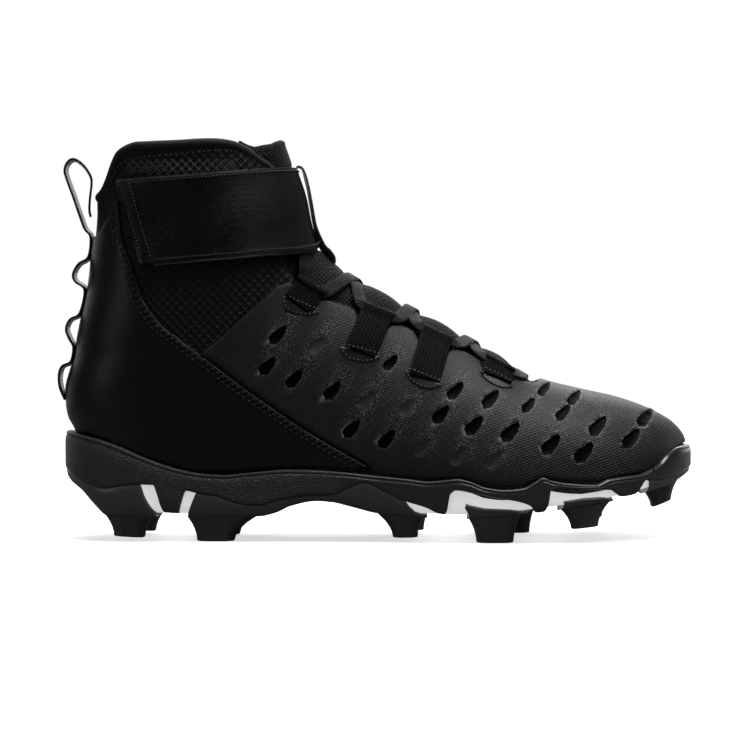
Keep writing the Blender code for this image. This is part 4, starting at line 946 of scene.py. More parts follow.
# From this number on the windows are shallow and grey
GREY_FILLED = 29
WINDOW_MARGIN, WINDOW_DEPTH, GREY_DEPTH = 0.0022, 0.0010, 0.0003
front_seam = located(spread([(x + 0.003, z + 0.004) for x, z in SEAM[5:]], 19))
toe_shares = (0.495, 0.53, 0.565, 0.60, 0.63, 0.66, 0.69, 0.72, 0.75, 0.78, 0.81, 0.84)
toe_shares += (0.87, 0.90, 0.925, 0.945, 0.963, 0.976)
toe_line = located(above_sole(toe_shares))
throat_line = []
for s in np.concatenate([[7.06, 7.12], np.linspace(7.2, 12.4, 53)]):
    notch = sum(0.075 * math.exp(-(((s - row[0]) / 0.30) ** 4)) for row in LOOPS)
    throat_line.append((s, float(throat_edge(s)) + 0.020 + notch))
half_outline = throat_line + located(spread(VAMP_REAR, 9))[::-1][1:-1] + front_seam + toe_line
toe_height = side_top(0.986 * SHOE_LENGTH) + 0.0006
toe_ridge = (float(np.interp(toe_height, [0.039, 0.0452], [1.0, 2.0])), 0.0)
vamp_outline = [(7.0, 0.0)] + half_outline + [toe_ridge]
vamp_outline += [(s, -t) for s, t in half_outline[::-1]]
windows = []
flat_outline = to_flat(vamp_outline)
for number, (column, row, size) in enumerate(WINDOWS):
    corners = np.array([column, row]) + WINDOW_CORNERS * size
    places = np.stack(photo_place(*corners.T), axis=1)
    for side in (-1, 1):
        loop = places * (1, side)
        room = loop_distance(to_flat(loop), flat_outline).min()
        if inside_loop(to_flat(loop), flat_outline).all() and room > WINDOW_MARGIN:
            grey = number >= GREY_FILLED
            windows.append((loop, GREY_DEPTH, 2) if grey else (loop, WINDOW_DEPTH, 1))
surfaces = [SKIN_BLACK, WINDOW_FLOOR, WINDOW_GREY]
vamp = overlay("vamp_skin_shell", vamp_outline, windows, surfaces, 0.0019)
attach(vamp, "root")
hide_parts("vamp_skin")

# Sole: a black side band round the shoe, leather-grained at the heel and glossy from the
# arch on, with a bead along its top and claws that reach down between white windows.
# Lower edge of the black side band, with its claws: place along, by SOLE_HEIGHT
BAND_EDGE = (
    (0.0, 0.655), (0.031, 0.570), (0.049, 0.515), (0.067, 0.492), (0.086, 0.503),
    (0.109, 0.525), (0.146, 0.520), (0.152, 0.440), (0.162, 0.270), (0.182, 0.262),
    (0.186, 0.310), (0.196, 0.468), (0.215, 0.445), (0.242, 0.424), (0.267, 0.374),
    (0.292, 0.337), (0.312, 0.333), (0.337, 0.374), (0.367, 0.410), (0.391, 0.428),
    (0.417, 0.428), (0.431, 0.438), (0.454, 0.501), (0.476, 0.547), (0.509, 0.465),
    (0.540, 0.380), (0.572, 0.323), (0.593, 0.270), (0.602, 0.262), (0.6055, 0.300),
    (0.6095, 0.440), (0.6225, 0.485), (0.645, 0.463), (0.685, 0.412), (0.716, 0.382),
    (0.734, 0.347), (0.742, 0.311), (0.748, 0.282), (0.758, 0.290), (0.762, 0.340),
    (0.766, 0.495), (0.780, 0.515), (0.822, 0.491), (0.862, 0.481), (0.871, 0.448),
    (0.882, 0.420), (0.903, 0.440), (0.910, 0.500), (0.918, 0.560), (0.935, 0.560),
    (1.0, 0.66),
)
# Underside of the sole plate: place along, height by STUD_HEIGHT
UNDERSIDE = (
    (0.0, 2.60), (0.007, 2.42), (0.028, 2.04), (0.05, 1.45), (0.070, 1.04), (0.15, 1.02),
    (0.20, 1.0), (0.31, 1.05), (0.336, 1.20), (0.36, 1.48), (0.40, 1.68), (0.424, 1.64),
    (0.454, 1.46), (0.50, 1.18), (0.576, 1.03), (0.64, 1.0), (0.727, 1.20), (0.78, 1.37),
    (0.864, 1.69), (0.912, 1.96), (0.976, 2.43), (1.0, 2.75),
)
band_edge_share = smooth_curve(BAND_EDGE)
underside_share = smooth_curve(UNDERSIDE)
# Rear edge of the toe bumper: along by SHOE_LENGTH, up by SOLE_HEIGHT
BUMPER_EDGE = ((0.920, -0.2), (0.920, 0.575), (0.933, 0.665), (0.948, 0.800), (0.951, 1.5))
SIDE_DRAFT = ((0.0, 0.0011), (0.26, 0.0), (0.85, 0.0), (1.0, 0.0010))


def underside(x):
    return underside_share(x / SHOE_LENGTH) * STUD_HEIGHT


def band_edge(x):
    return band_edge_share(x / SHOE_LENGTH) * SOLE_HEIGHT


def draft(x, z):
    """How far the sole's side stands in at a height."""
    share = (z - underside(x)) / (side_top(x) - underside(x))
    return np.interp(share, [row[0] for row in SIDE_DRAFT], [row[1] for row in SIDE_DRAFT])


def sole_place(along, side, inset, z):
    """A point of the sole's side: share along, -1 outer or 1 inner, inset and height."""
    x = inset + along * (SHOE_LENGTH - 2 * inset)
    half = sole_half_width(x / SHOE_LENGTH) - inset
    half = half * rounded((x - inset) / HEEL_ROUNDING)
    half = half * rounded((SHOE_LENGTH - inset - x) / TOE_ROUNDING)
    middle = middle_share(x / SHOE_LENGTH) * BALL_WIDTH
    return np.stack([x, middle + side * half, z], axis=-1) + np.array(FROM_HEEL)


def stations(first, last, step=0.0022):
    """Places along, close at the sole's ends and at every claw."""
    turn = np.linspace(0, np.pi / 2, 30)
    found = [0.13 * (1 - np.cos(turn)), 1 - 0.22 * (1 - np.cos(turn)), np.arange(first, last, step)]
    corners = np.array([row[0] for row in BAND_EDGE])
    found += [corners, (corners[1:] + corners[:-1]) / 2, [first, last]]
    found = np.unique(np.round(np.concatenate(found), 5))
    return found[(found >= first) & (found <= last)]


def side_strip(name, along, levels, surfaces, rear=None, front=None, skew=(0.0, 0.0, 1.0)):
    """A strip round the sole. A level gives height and inset from x; rear and front
    give the ends' place along from the height. skew moves the inner side's rear and
    front end forward and lowers it."""
    first, last = along[0], along[-1]
    grids = []
    for side in (-1, 1):
        rows = []
        share = (along - first) / (last - first)
        near_start, near_end = np.clip(1 - share * 12, 0, 1), np.clip(share * 12 - 11, 0, 1)
        for level in levels:
            place = along
            for _ in range(3):
                z, inset = level(place * SHOE_LENGTH)
                start = first if rear is None else rear(z)
                end = last if front is None else front(z)
                place = along + (start - first) * near_start + (end - last) * near_end
            if side > 0 and skew[1]:
                low = underside(place * SHOE_LENGTH)
                place = place + skew[0] + (skew[1] - skew[0]) * share
                z = np.maximum(z * skew[2], 0) + underside(place * SHOE_LENGTH) - low * skew[2]
            rows.append(sole_place(place, side, inset + draft(place * SHOE_LENGTH, z), z))
        grids.append(np.array(rows))
    points, faces = [], []
    for grid, flip in zip(grids, (True, False)):
        start = len(points)
        points += grid.reshape(-1, 3).tolist()
        faces += grid_faces(grid.shape[0], grid.shape[1], start, flip)
    made = add_mesh(name, points, faces, surfaces)
    merge = made.modifiers.new("merge", "WELD")
    merge.merge_threshold = 0.00001
    return made


def level_from(line, rise, inset):
    """A level that follows a line of the sole's side at a rise and an inset."""
    return lambda x: (line(x) + rise, np.full(np.shape(x), inset))


def level_between(share):
    """A level of the band's plain side, at a share of the way up it."""
    return lambda x: (
        band_edge(x) + 0.0012 + (side_top(x) - band_edge(x) - 0.0034) * share,
        np.zeros(np.shape(x)),
    )


# Rises and insets of the rolled lower edge and of the grooved bead along the top
LOW_ROLL = ((0.0006, 0.0040), (0.0001, 0.0022), (0.0, 0.0010), (0.0001, 0.0004), (0.0005, 0.0001))
TOP_BEAD = (
    (-0.0019, 0.00005), (-0.0016, 0.0004), (-0.0013, 0.0001), (-0.0008, -0.0003),
    (-0.0002, -0.0001), (0.0001, 0.0006), (0.0, 0.0014), (-0.0006, 0.0028), (-0.0018, 0.0050),
)
BAND_LEVELS = [level_from(band_edge, *row) for row in LOW_ROLL]
BAND_LEVELS += [level_between(share) for share in np.linspace(0, 1, 8)]
BAND_LEVELS += [level_from(side_top, *row) for row in TOP_BEAD]


def leather_group():
    """Leather grain: cells with soft creases between them, 0 to 1."""
    tree, start, end = add_group("leather", [("Scale", 900.0)], ["Height"])
    cells = tree.nodes.new("ShaderNodeTexVoronoi")
    cells.feature = "DISTANCE_TO_EDGE"
    tree.links.new(own_place(tree), cells.inputs["Vector"])
    tree.links.new(start["Scale"], cells.inputs["Scale"])
    tree.links.new(smooth_step(tree, cells.outputs["Distance"], 0.0, 0.25), end["Height"])
    return tree


LEATHER = leather_group()


def band_material():
    """Grained leather look at the heel that turns smooth and glossy along the shoe."""
    made = simple_material("side_band", (0.036, 0.036, 0.0375), 0.4)
    tree = made.node_tree
    front = smooth_step(tree, split_vector(tree, own_place(tree))["X"], -0.022, -0.010)
    grain = use_group(tree, LEATHER, Scale=850.0)["Height"]
    relief = math_node(tree, "MULTIPLY", grain, one_less(tree, front))
    rough = math_node(tree, "ADD", math_node(tree, "MULTIPLY", front, -0.20), 0.46)
    wire(made, Normal=bump_from(tree, relief, 0.00016), Roughness=rough)
    return made


SIDE_BAND = band_material()
BUMPER_GLOSS = simple_material("bumper_gloss", (0.030, 0.030, 0.031), 0.2, Coat_Weight=0.3)
BUMPER_X, BUMPER_Z = np.array(BUMPER_EDGE).T
BUMPER_MEETS, BUMPER_GAP = 0.936, 0.0008


def bumper_rear(z):
    """The place along of the bumper's rear edge at a height."""
    return np.interp(z, BUMPER_Z * SOLE_HEIGHT, BUMPER_X)


band = side_strip(
    "midsole_side", stations(0, BUMPER_MEETS), BAND_LEVELS, [SIDE_BAND],
    front=lambda z: bumper_rear(z) - BUMPER_GAP,
)
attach(band, "root")
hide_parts("midsole")
bumper = side_strip(
    "toe_bumper_lobe", stations(BUMPER_MEETS, 1.0), BAND_LEVELS, [BUMPER_GLOSS],
    rear=lambda z: bumper_rear(z) + BUMPER_GAP,
)
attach(bumper, "root")
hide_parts("toe_bumper")

# Sole plate: a hard white plate between the band and the rubber treads. It shows in the
# windows of the side and between the treads underneath.
PLATE_INSET, TREAD_DEPTH, PLATE_COLUMNS = 0.0013, 0.0020, 13
# The plate's emission is painted light: the white plate glows, so it reads brighter than the lamps alone
# would make it.
GLOWING_WHITE_PLATE = simple_material(
    "white_plate", (0.93, 0.93, 0.93), 0.35, Emission_Color=(*WHITE, 1.0), Emission_Strength=0.50
)


def plate_level(share, inset):
    """A level of the plate's side, at a share of the way up it."""
    return lambda x: (
        underside(x) + TREAD_DEPTH + (side_top(x) - 0.006 - underside(x)) * share,
        np.full(np.shape(x), inset),
    )


def bottom_rows(along, inset, lift, count, skew=(0.0, 0.0, 1.0)):
    """A net across the sole's underside, from its outer edge to its inner one."""
    moved = along + skew[0] + (skew[1] - skew[0]) * (along - along[0]) / (along[-1] - along[0])
    ends = []
    for side, place in ((-1, along), (1, moved if skew[1] else along)):
        x = place * SHOE_LENGTH
        z = underside(x) + lift
        ends.append(sole_place(place, side, inset + draft(x, z), z))
    outer, inner = ends
    share = np.linspace(0, 1, count)[:, None, None]
    return outer[None] * (1 - share) + inner[None] * share


plate_along = stations(0.004, 0.996, 0.004)
plate_levels = [plate_level(share, PLATE_INSET) for share in np.linspace(0.9, 0.06, 6)]
plate_levels.append(plate_level(0, 0.0020))
plate = side_strip("plate_white", plate_along, plate_levels, [GLOWING_WHITE_PLATE])
net = bottom_rows(plate_along, 0.0020, TREAD_DEPTH, PLATE_COLUMNS)
plate_bottom = add_mesh(
    "plate_underside", net.reshape(-1, 3), grid_faces(PLATE_COLUMNS, len(plate_along)), [GLOWING_WHITE_PLATE]
)
for piece in (plate, plate_bottom):
    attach(piece, "root")
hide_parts("sole_plate")

# Treads and studs: black rubber moulded over the plate. Every stud is a tapered block
# with flat facets and eased edges.

# Rear edge (by SOLE_HEIGHT, along), part that follows the band, points of the front edge
TREADS = {
    "tread_heel": (
        ((-0.10, 0.0), (1.0, 0.0)), (0.0, 0.124),
        ((0.130, 0.41), (0.139, 0.31), (0.149, 0.235)),
    ),
    "tread_shank": (
        ((-0.10, 0.197), (0.22, 0.197), (0.445, 0.213), (1.0, 0.214)), (0.205, 0.540),
        ((0.547, 0.32), (0.557, 0.269), (0.575, 0.235)),
    ),
    "tread_forefoot": (
        ((-0.10, 0.637), (0.25, 0.640), (0.325, 0.632), (0.350, 0.634)), None,
        ((0.634, 0.350), (0.644, 0.333), (0.664, 0.309), (0.704, 0.299), (0.727, 0.280),
         (0.730, 0.268)),
    ),
    "tread_front": (
        ((-0.10, 0.779), (0.30, 0.779), (0.319, 0.785), (0.374, 0.789)), None,
        ((0.779, 0.345), (0.789, 0.374), (0.821, 0.402), (0.847, 0.408), (0.863, 0.390),
         (0.866, 0.382)),
    ),
    "tread_toe": (((-0.10, 0.914), (0.440, 0.914), (0.448, 0.920), (0.480, 0.924)), (0.924, 1.0), ()),
}
TREAD_SKEW = {"tread_forefoot": (0.008, 0.040, 0.90), "tread_front": (0.020, 0.021, 0.96)}
# tread, base and tip from rear to front, tip height rear and front by STUD_HEIGHT, width
# of base and tip by HEEL_WIDTH, draw-in, and how far forward the inner one stands
STUDS = (
    ("tread_heel", 0.070, 0.147, 0.084, 0.132, 0.20, 0.14, 0.30, 0.17, 0.03, 0.007),
    ("tread_shank", 0.199, 0.311, 0.2145, 0.273, 0.0, 0.0, 0.31, 0.18, 0.02, 0.002),
    ("tread_shank", 0.494, 0.568, 0.521, 0.560, 0.17, 0.18, 0.30, 0.17, 0.03, 0.012),
    ("tread_forefoot", 0.638, 0.720, 0.651, 0.7085, 0.0, 0.0, 0.31, 0.18, 0.02, 0.036),
    ("tread_front", 0.781, 0.860, 0.799, 0.8405, 0.55, 0.66, 0.30, 0.17, 0.03, 0.022),
)
TOE_STUD = (0.919, 0.978, 0.935, 0.9665, 1.25, 1.55, 0.34, 0.24)
TREAD_COLUMNS = 15
RUBBER = simple_material("rubber", (0.068, 0.068, 0.070), 0.36)
tree = RUBBER.node_tree
wire(RUBBER, Normal=bump_from(tree, noise(tree, 2200.0), 0.00006))


def stud_rings(base, tip, base_z, tip_z):
    """Rings of a stud, from the flare at its base to its eased tip."""
    base, tip = np.array(base), np.array(tip)
    middle = tip.mean(axis=0)
    rings = []
    for share in (0.0, 0.04, 0.10, 0.20, 0.34, 0.52, 0.76, 0.95, 0.985):
        drawn = 1 - (1 - share) ** 1.9
        flat = base + (tip - base) * drawn
        if share > 0.98:
            flat = middle + (flat - middle) * 0.965
        z = base_z + (tip_z - base_z) * share
        rings.append(np.column_stack([flat, z]))
    flat = middle + (tip - middle) * 0.86
    rings.append(np.column_stack([flat, tip_z]))
    return rings


def eased_corners(corners, cut=0.16):
    """A closed ring with two points for each corner, cut a little."""
    corners = np.array(corners)
    befores, afters = np.roll(corners, 1, axis=0), np.roll(corners, -1, axis=0)
    out = []
    for before, here, after in zip(befores, corners, afters):
        out += [here + (before - here) * cut, here + (after - here) * cut]
    return np.array(out)


def chamfered(rear, front, outer, inner, cut=0.22):
    """The ring of an oblong with its corners cut off."""
    long, wide = (front - rear) * cut, (inner - outer) * cut
    return eased_corners([
        (rear + long, outer), (front - long, outer), (front, outer + wide),
        (front, inner - wide), (front - long, inner), (rear + long, inner),
        (rear, inner - wide), (rear, outer + wide),
    ])


def roll_faces(rings, count, start=0, closed_low=True):
    """Quads round rings of points that follow one another, with a face over each end."""
    faces = []
    for ring in range(rings - 1):
        first = start + ring * count
        for i in range(count):
            a, b = first + i, first + (i + 1) % count
            faces.append([a, b, b + count, a + count])
    if closed_low:
        faces.append([start + i for i in range(count)][::-1])
    faces.append([start + (rings - 1) * count + i for i in range(count)])
    return faces


def add_stud(points, faces, base, tip, base_z, tip_z):
    """Adds a stud to a tread's points and faces, open where it stands on it."""
    rings = stud_rings(base, tip, base_z, tip_z)
    faces += roll_faces(len(rings), len(rings[0]), len(points), False)
    for ring in rings:
        points += (ring + np.array(FROM_HEEL)).tolist()


for name, (rear_edge, follow, top_points) in TREADS.items():
    rear_x, rear_z = [row[1] for row in rear_edge], [row[0] * SOLE_HEIGHT for row in rear_edge]
    top = []
    if follow is not None:
        shares = stations(*follow)
        top += list(zip(shares, band_edge(shares * SHOE_LENGTH) - 0.0003))
    top += [(x, z * SOLE_HEIGHT) for x, z in top_points]
    top_x, top_z = np.array(top).T
    first, last = rear_x[0], top_x[-1]
    along = stations(first, last)

    def tread_level(share, inset, rise=0.0, top_x=top_x, top_z=top_z):
        def level(x):
            low = underside(x)
            high = np.maximum(np.interp(x / SHOE_LENGTH, top_x, top_z), low + 0.0008)
            return low + (high - low) * share + rise, np.full(np.shape(x), inset)
        return level

    levels = [tread_level(1, 0.0016, 0.0008), tread_level(1, 0.0006, 0.0004)]
    levels += [tread_level(1, 0.0004, 0.0001), tread_level(1, 0.00015, -0.0003)]
    levels += [tread_level(share, 0.00015) for share in (0.8, 0.6, 0.4, 0.25)]
    levels += [tread_level(0, 0.0003, 0.0005), tread_level(0, 0.0009, 0.0)]
    rear = None if name == "tread_heel" else (lambda z, a=rear_x, b=rear_z: np.interp(z, b, a))
    skew = TREAD_SKEW.get(name, (0.0, 0.0, 1.0))
    side = side_strip(name + "_side", along, levels, [RUBBER], rear=rear, skew=skew)
    net = bottom_rows(along, 0.0009, 0.0, TREAD_COLUMNS, skew)
    points, faces = net.reshape(-1, 3).tolist(), grid_faces(TREAD_COLUMNS, len(along))
    for column, flip in ((0, False), (len(along) - 1, True)):
        start = len(points)
        line = net[:, column]
        points += line.tolist() + (line + np.array([0, 0, TREAD_DEPTH + 0.0004])).tolist()
        faces += grid_faces(2, TREAD_COLUMNS, start, flip)
    for stud_name, *shares in STUDS:
        if stud_name != name:
            continue
        across = [v * HEEL_WIDTH for v in shares[6:9]]
        for hand, forward in ((-1, 0.0), (1, shares[9])):
            base_rear, base_front, tip_rear, tip_front = (
                (v + forward) * SHOE_LENGTH for v in shares[:4]
            )
            base, tip = [], []
            for x, y in chamfered(base_rear, base_front, 0.0, across[0]):
                base_edge = sole_place(x / SHOE_LENGTH, hand, PLATE_INSET, 0.0)
                base.append((x, base_edge[1] - FROM_HEEL.y - hand * y))
            tip_along = (tip_rear + tip_front) / 2 / SHOE_LENGTH
            tip_edge = sole_place(tip_along, hand, 0.0032 + across[2], 0.0)
            for x, y in chamfered(tip_rear, tip_front, 0.0, across[1]):
                tip.append((x, tip_edge[1] - FROM_HEEL.y - hand * y))
            x = np.array(base)[:, 0]
            tip_share = (np.array(tip)[:, 0] - tip_rear) / (tip_front - tip_rear)
            tip_z = (shares[4] + (shares[5] - shares[4]) * tip_share) * STUD_HEIGHT
            add_stud(points, faces, base, tip, underside(x) + 0.0002, tip_z)
    if name == "tread_toe":
        base_rear, base_front, tip_rear, tip_front = (v * SHOE_LENGTH for v in TOE_STUD[:4])
        centre = float(middle_share(0.95)) * BALL_WIDTH
        half_base, half_tip = TOE_STUD[6] * HEEL_WIDTH / 2, TOE_STUD[7] * HEEL_WIDTH / 2
        base = chamfered(base_rear, base_front, centre - half_base, centre + half_base)
        tip = chamfered(tip_rear, tip_front, centre - half_tip, centre + half_tip)
        tip_share = (tip[:, 0] - tip_rear) / (tip_front - tip_rear)
        tip_z = (TOE_STUD[4] + (TOE_STUD[5] - TOE_STUD[4]) * tip_share) * STUD_HEIGHT
        add_stud(points, faces, base, tip, underside(base[:, 0]) + 0.0002, tip_z)
    bottom = add_mesh(name + "_bottom", points, faces, [RUBBER], smooth=False)
    for piece in (side, bottom):
        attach(piece, "root")
    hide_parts(name)

# Tongue: a padded knit gusset under the throat, up to a ribbed flap in front of the
# collar. It bulges a little between the lace loops.
TONGUE_THICKNESS, TONGUE_COLUMNS = 0.0035, 41


def rib_group():
    """Knitted ribs along one direction: 1 on a rib, 0 between them."""
    tree, start, end = add_group("ribs", [("Along", 0.0), ("Pitch", 1.0)], ["Rib"])
    value = off_middle(tree, start["Along"], start["Pitch"])
    rib = smooth_step(tree, math_node(tree, "SUBTRACT", 0.5, value), 0.02, 0.34)
    tree.links.new(rib, end["Rib"])
    return tree


RIBS = rib_group()


def woven_material(name, colour, roughness, pitch_u, pitch_v, depth, **values):
    """Ribbed weave on a band, from its own lengths in millimetres."""
    made = simple_material(name, colour, roughness, **values)
    tree = made.node_tree
    lengths = split_vector(tree, tree.nodes.new("ShaderNodeUVMap").outputs["UV"])
    relief = None
    for socket, pitch in (("X", pitch_u), ("Y", pitch_v)):
        if pitch:
            ribs = use_group(tree, RIBS, Along=lengths[socket], Pitch=pitch)["Rib"]
            relief = ribs if relief is None else math_node(tree, "MULTIPLY", relief, ribs)
    relief = math_node(tree, "ADD", relief, math_node(tree, "MULTIPLY", noise(tree, 3000.0), 0.3))
    wire(made, Normal=bump_from(tree, relief, depth))
    return made


KNIT_YARN, KNIT_PIT = (0.010, 0.010, 0.0104), (0.0006, 0.0006, 0.0006)
TONGUE_KNIT = mesh_material("tongue_knit", KNIT_YARN, KNIT_PIT, 2.1, 1.05, 0.48, 0.7, 0.0006)
# Where the lace crosses, by section number
CROSSINGS = (7.40, 8.435, 9.575, 10.905)
tongue_sections = np.concatenate([np.linspace(6.0, 18.0, 97), np.linspace(18.08, 18.9, 12)])
grids = []
for inner in (False, True):
    rows = []
    for section in tongue_sections:
        reach_out = 0.30 - 0.02 * float(eased((section - 12.5) / 2))
        tongue_turns = np.linspace(-1, 1, TONGUE_COLUMNS) * reach_out
        slot = max(float(throat_edge(section)) - 0.006, 0.03)
        shape = np.sqrt(np.clip(1 - (tongue_turns / slot) ** 2, 0, 1))
        under_strap = float(eased((section - 12.1) / 0.5) * (1 - eased((section - 16.6) / 0.7)))
        dent = 0.0024 * sum(math.exp(-(((section - place) / 0.30) ** 2)) for place in CROSSINGS)
        bulge = (0.0046 - 0.0024 * under_strap - dent) * shape * float(eased((section - 6.95) / 0.5))
        lift = -WALL - 0.0007 + bulge
        thick = TONGUE_THICKNESS * math.sqrt(max(1 - max((section - 18.4) / 0.52, 0) ** 2, 0.02))
        middle = lift - TONGUE_THICKNESS / 2
        lift = middle + (-thick if inner else thick) / 2
        row = on_last(min(section, TOP_SECTION), tongue_turns, lift)
        past_edge = max(section - TOP_SECTION, 0.0) / 0.9
        row[:, 2] += past_edge * (0.0034 + 0.0022 * eased(np.abs(tongue_turns) / 0.2))
        row[:, 0] -= past_edge * 0.0008
        rows.append(row)
    grids.append(np.array(rows))


def slab(name, outer, inner, surface, flip):
    """A solid of two grids of points, one over the other, with rims round them."""
    outer, inner = np.array(outer), np.array(inner)
    rows, columns = outer.shape[:2]
    shift = rows * columns
    faces = grid_faces(rows, columns, 0, flip) + grid_faces(rows, columns, shift, not flip)
    numbers = np.arange(shift).reshape(rows, columns)
    for line, turned in (
        (numbers[:, 0], True), (numbers[:, -1], False), (numbers[0], False), (numbers[-1], True)
    ):
        faces += rim_faces(line.tolist(), shift, turned)
    points = np.concatenate([outer.reshape(-1, 3), inner.reshape(-1, 3)])
    return add_mesh(name, points, faces, [surface])


tongue = slab("tongue_gusset", *grids, TONGUE_KNIT, True)
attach(tongue, "root")
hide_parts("tongue")

# Lace loops: four short webbing straps a side, folded over at the throat and sewn under a
# half-moon patch. The lace runs through the folded end.
LOOP_WIDTH, WEBBING = 0.0148, 0.0010
WEB_COLOUR, SKIN_TOP = (0.0012, 0.0012, 0.0013), PANEL_LOW + PANEL_THICK
WEB = woven_material("webbing", WEB_COLOUR, 0.6, 1.6, 1.15, 0.0005, Specular_IOR_Level=0.12)
PATCH = simple_material("patch_black", (0.008, 0.008, 0.0085), 0.42)


def band_profile(width, thickness, count=5):
    """Closed section of a tape: across and out, with round edges."""
    radius = thickness / 2
    flat = width / 2 - radius
    turns = np.linspace(-np.pi / 2, np.pi / 2, count)
    right = np.stack([flat + radius * np.cos(turns), radius * np.sin(turns)], axis=1)
    top = np.stack([np.linspace(flat, -flat, 7)[1:-1], np.full(5, radius)], axis=1)
    return np.concatenate([right, top, -right, -top])


def smooth_path(points, step=0.0012):
    """A smooth line through the points, in even steps."""
    points = np.asarray(points, float)
    before = 2 * points[0] - points[1]
    after = 2 * points[-1] - points[-2]
    line = np.concatenate([[before], points, [after]])
    t = np.linspace(0, 1, 16, endpoint=False)[:, None]
    dense = []
    for a, b, c, d in zip(line, line[1:], line[2:], line[3:]):
        second, third = 2 * a - 5 * b + 4 * c - d, 3 * b - a - 3 * c + d
        dense.append(0.5 * (2 * b + (c - a) * t + second * t**2 + third * t**3))
    dense = np.concatenate(dense + [points[-1:]])
    reach = run_along(dense)
    count = max(int(reach[-1] / step), 3)
    return along_line(np.linspace(0, reach[-1], count + 1), reach, dense)


def along_line(at, reach, values):
    """Places or directions known at some lengths along a line, read at others."""
    return np.stack([np.interp(at, reach, values[:, k]) for k in range(3)], axis=-1)


def unit(vectors):
    return vectors / np.maximum(np.linalg.norm(vectors, axis=-1, keepdims=True), 1e-12)


def add_uv(made, count, around, path):
    """UV in millimetres: across from a ring's own values, up along the path."""
    loops = np.array([loop.vertex_index for loop in made.data.loops])
    along = run_along(path)[loops // count] * 1000 + 50
    flat = np.stack([around[loops % count], along], axis=1)
    made.data.uv_layers.new(name="UVMap").data.foreach_set("uv", flat.ravel())


def tape(name, path, normals, width, thickness, surface):
    """A flat tape along a path; normals point out of its face."""
    tangent = unit(np.gradient(path, axis=0))
    across = unit(np.cross(tangent, normals))
    out = np.cross(across, tangent)
    profile = band_profile(width, thickness)
    sideways, outwards = profile[None, :, :1], profile[None, :, 1:]
    rings = path[:, None] + sideways * across[:, None] + outwards * out[:, None]
    rows, columns = rings.shape[:2]
    made = add_mesh(name, rings.reshape(-1, 3), roll_faces(rows, columns), [surface])
    add_uv(made, columns, profile[:, 0] * 1000 + 50, path)
    return made


ACROSS_SHOE, LOOP_TUCK = np.array([0.0, 1.0, 0.0]), 0.004


def outward(path, twist=0.0):
    """Directions square to a path in the side view, turned about it by a twist in degrees."""
    normal = unit(np.cross(np.gradient(path, axis=0), ACROSS_SHOE))
    twist = np.radians(np.atleast_1d(twist))[:, None]
    return normal * np.cos(twist) + ACROSS_SHOE * np.sin(twist)


def down_from(section, turn):
    """Reads the turn at a reach down the surface from a turn of a section."""
    turns = np.linspace(turn, turn + 0.6, 121)
    run = run_along(last_point(section, turns))
    return lambda value: np.interp(value, run, turns)


def half_moon(section, side, reach, half=0.0096, deep=0.0050):
    """A patch at a loop's low end; its lower edge bulges down."""
    first = float(throat_edge(section)) + LOOP_TUCK
    at = down_from(section, first)
    outline = [(-half, reach - 0.0004)]
    for share in np.linspace(-0.94, 0.94, 23):
        outline.append((share * half, reach + deep * (1 - abs(share) ** 2.4)))
    outline += [(half, reach - 0.0004)]
    outline += [(half * 0.9, reach - 0.0012), (-half * 0.9, reach - 0.0012)]
    step = last_point(section + 0.1, first) - last_point(section - 0.1, first)
    per_section = float(np.linalg.norm(step)) / 0.2
    return [(section - along / per_section, side * float(at(down))) for along, down in outline]


# A loop's fold round the lace: turn past its top, lift
FOLD = (
    (0.050, 0.0006), (0.025, 0.0007), (0.004, 0.0008), (-0.010, 0.0012), (-0.0145, 0.0021),
    (-0.010, 0.0030), (0.002, 0.0034),
)
for side, side_name in ((-1, "outer"), (1, "inner")):
    for number, (section, reach) in enumerate(LOOPS, 1):
        moon = half_moon(section, side, reach)
        patch_name = f"patch_{side_name}_{number}"
        patch = overlay(patch_name, moon[::side], [], [PATCH], 0.0014, SKIN_TOP + 0.0003)
        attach(patch, "root")
        first = float(throat_edge(section)) + LOOP_TUCK
        turns = down_from(section, first)(np.linspace(0, reach, 14)[2:]) * side
        low = on_last(section, turns, SKIN_TOP + 0.0009)
        fold_turns, fold_lifts = np.array(FOLD).T
        fold = on_last(section, side * (first + fold_turns), fold_lifts)
        path = smooth_path(np.concatenate([fold, low]), 0.0006)
        forward = last_point(section + 0.05, turns[0]) - last_point(section - 0.05, turns[0])
        facing = unit(np.cross(np.gradient(path, axis=0), forward))
        facing *= np.sign((facing[-3:] * last_normal(section, turns[0])).sum())
        loop = tape(f"webbing_{side_name}_{number}", path, facing, LOOP_WIDTH, WEBBING, WEB)
        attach(loop, "root")
        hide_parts(f"loop_{side_name}_{number}")

# Lace: one flat satin lace, laced criss-cross through the loops from a bar at the front
# one, its two ends going up under the strap.
LACE_WIDTH, LACE_THICKNESS = 0.0066, 0.0013
LACE_COLOUR = (0.0022, 0.0022, 0.0024)
SATIN = woven_material("lace_satin", LACE_COLOUR, 0.5, 0.9, 0.8, 0.0004, Specular_IOR_Level=0.18)


def lace_strand(name, stops, replaced=None):
    """A strand over the tongue through stops: section, turn, lift."""
    sections, turns, lifts = np.array(stops, float).T
    places = on_last(sections, turns, lifts)
    path, reach = smooth_path(places, 0.0010), run_along(places)
    even = np.linspace(0, reach[-1], len(path))
    normals = along_line(even, reach, last_normal(sections, turns))
    made = tape(name, path, normals, LACE_WIDTH, LACE_THICKNESS, SATIN)
    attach(made, "root")
    if replaced:
        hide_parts(replaced)


def leaving(number, side, forward):
    """Stops from inside a loop's fold out past its front or rear edge, on to the tongue."""
    section = LOOPS[number][0]
    edge = float(throat_edge(section))
    return [
        (section - forward * step, side * (edge + up), lift)
        for step, up, lift in ((0.05, 0.004, 0.0021), (0.30, 0.003, 0.0020), (0.42, -0.022, 0.0014))
    ]


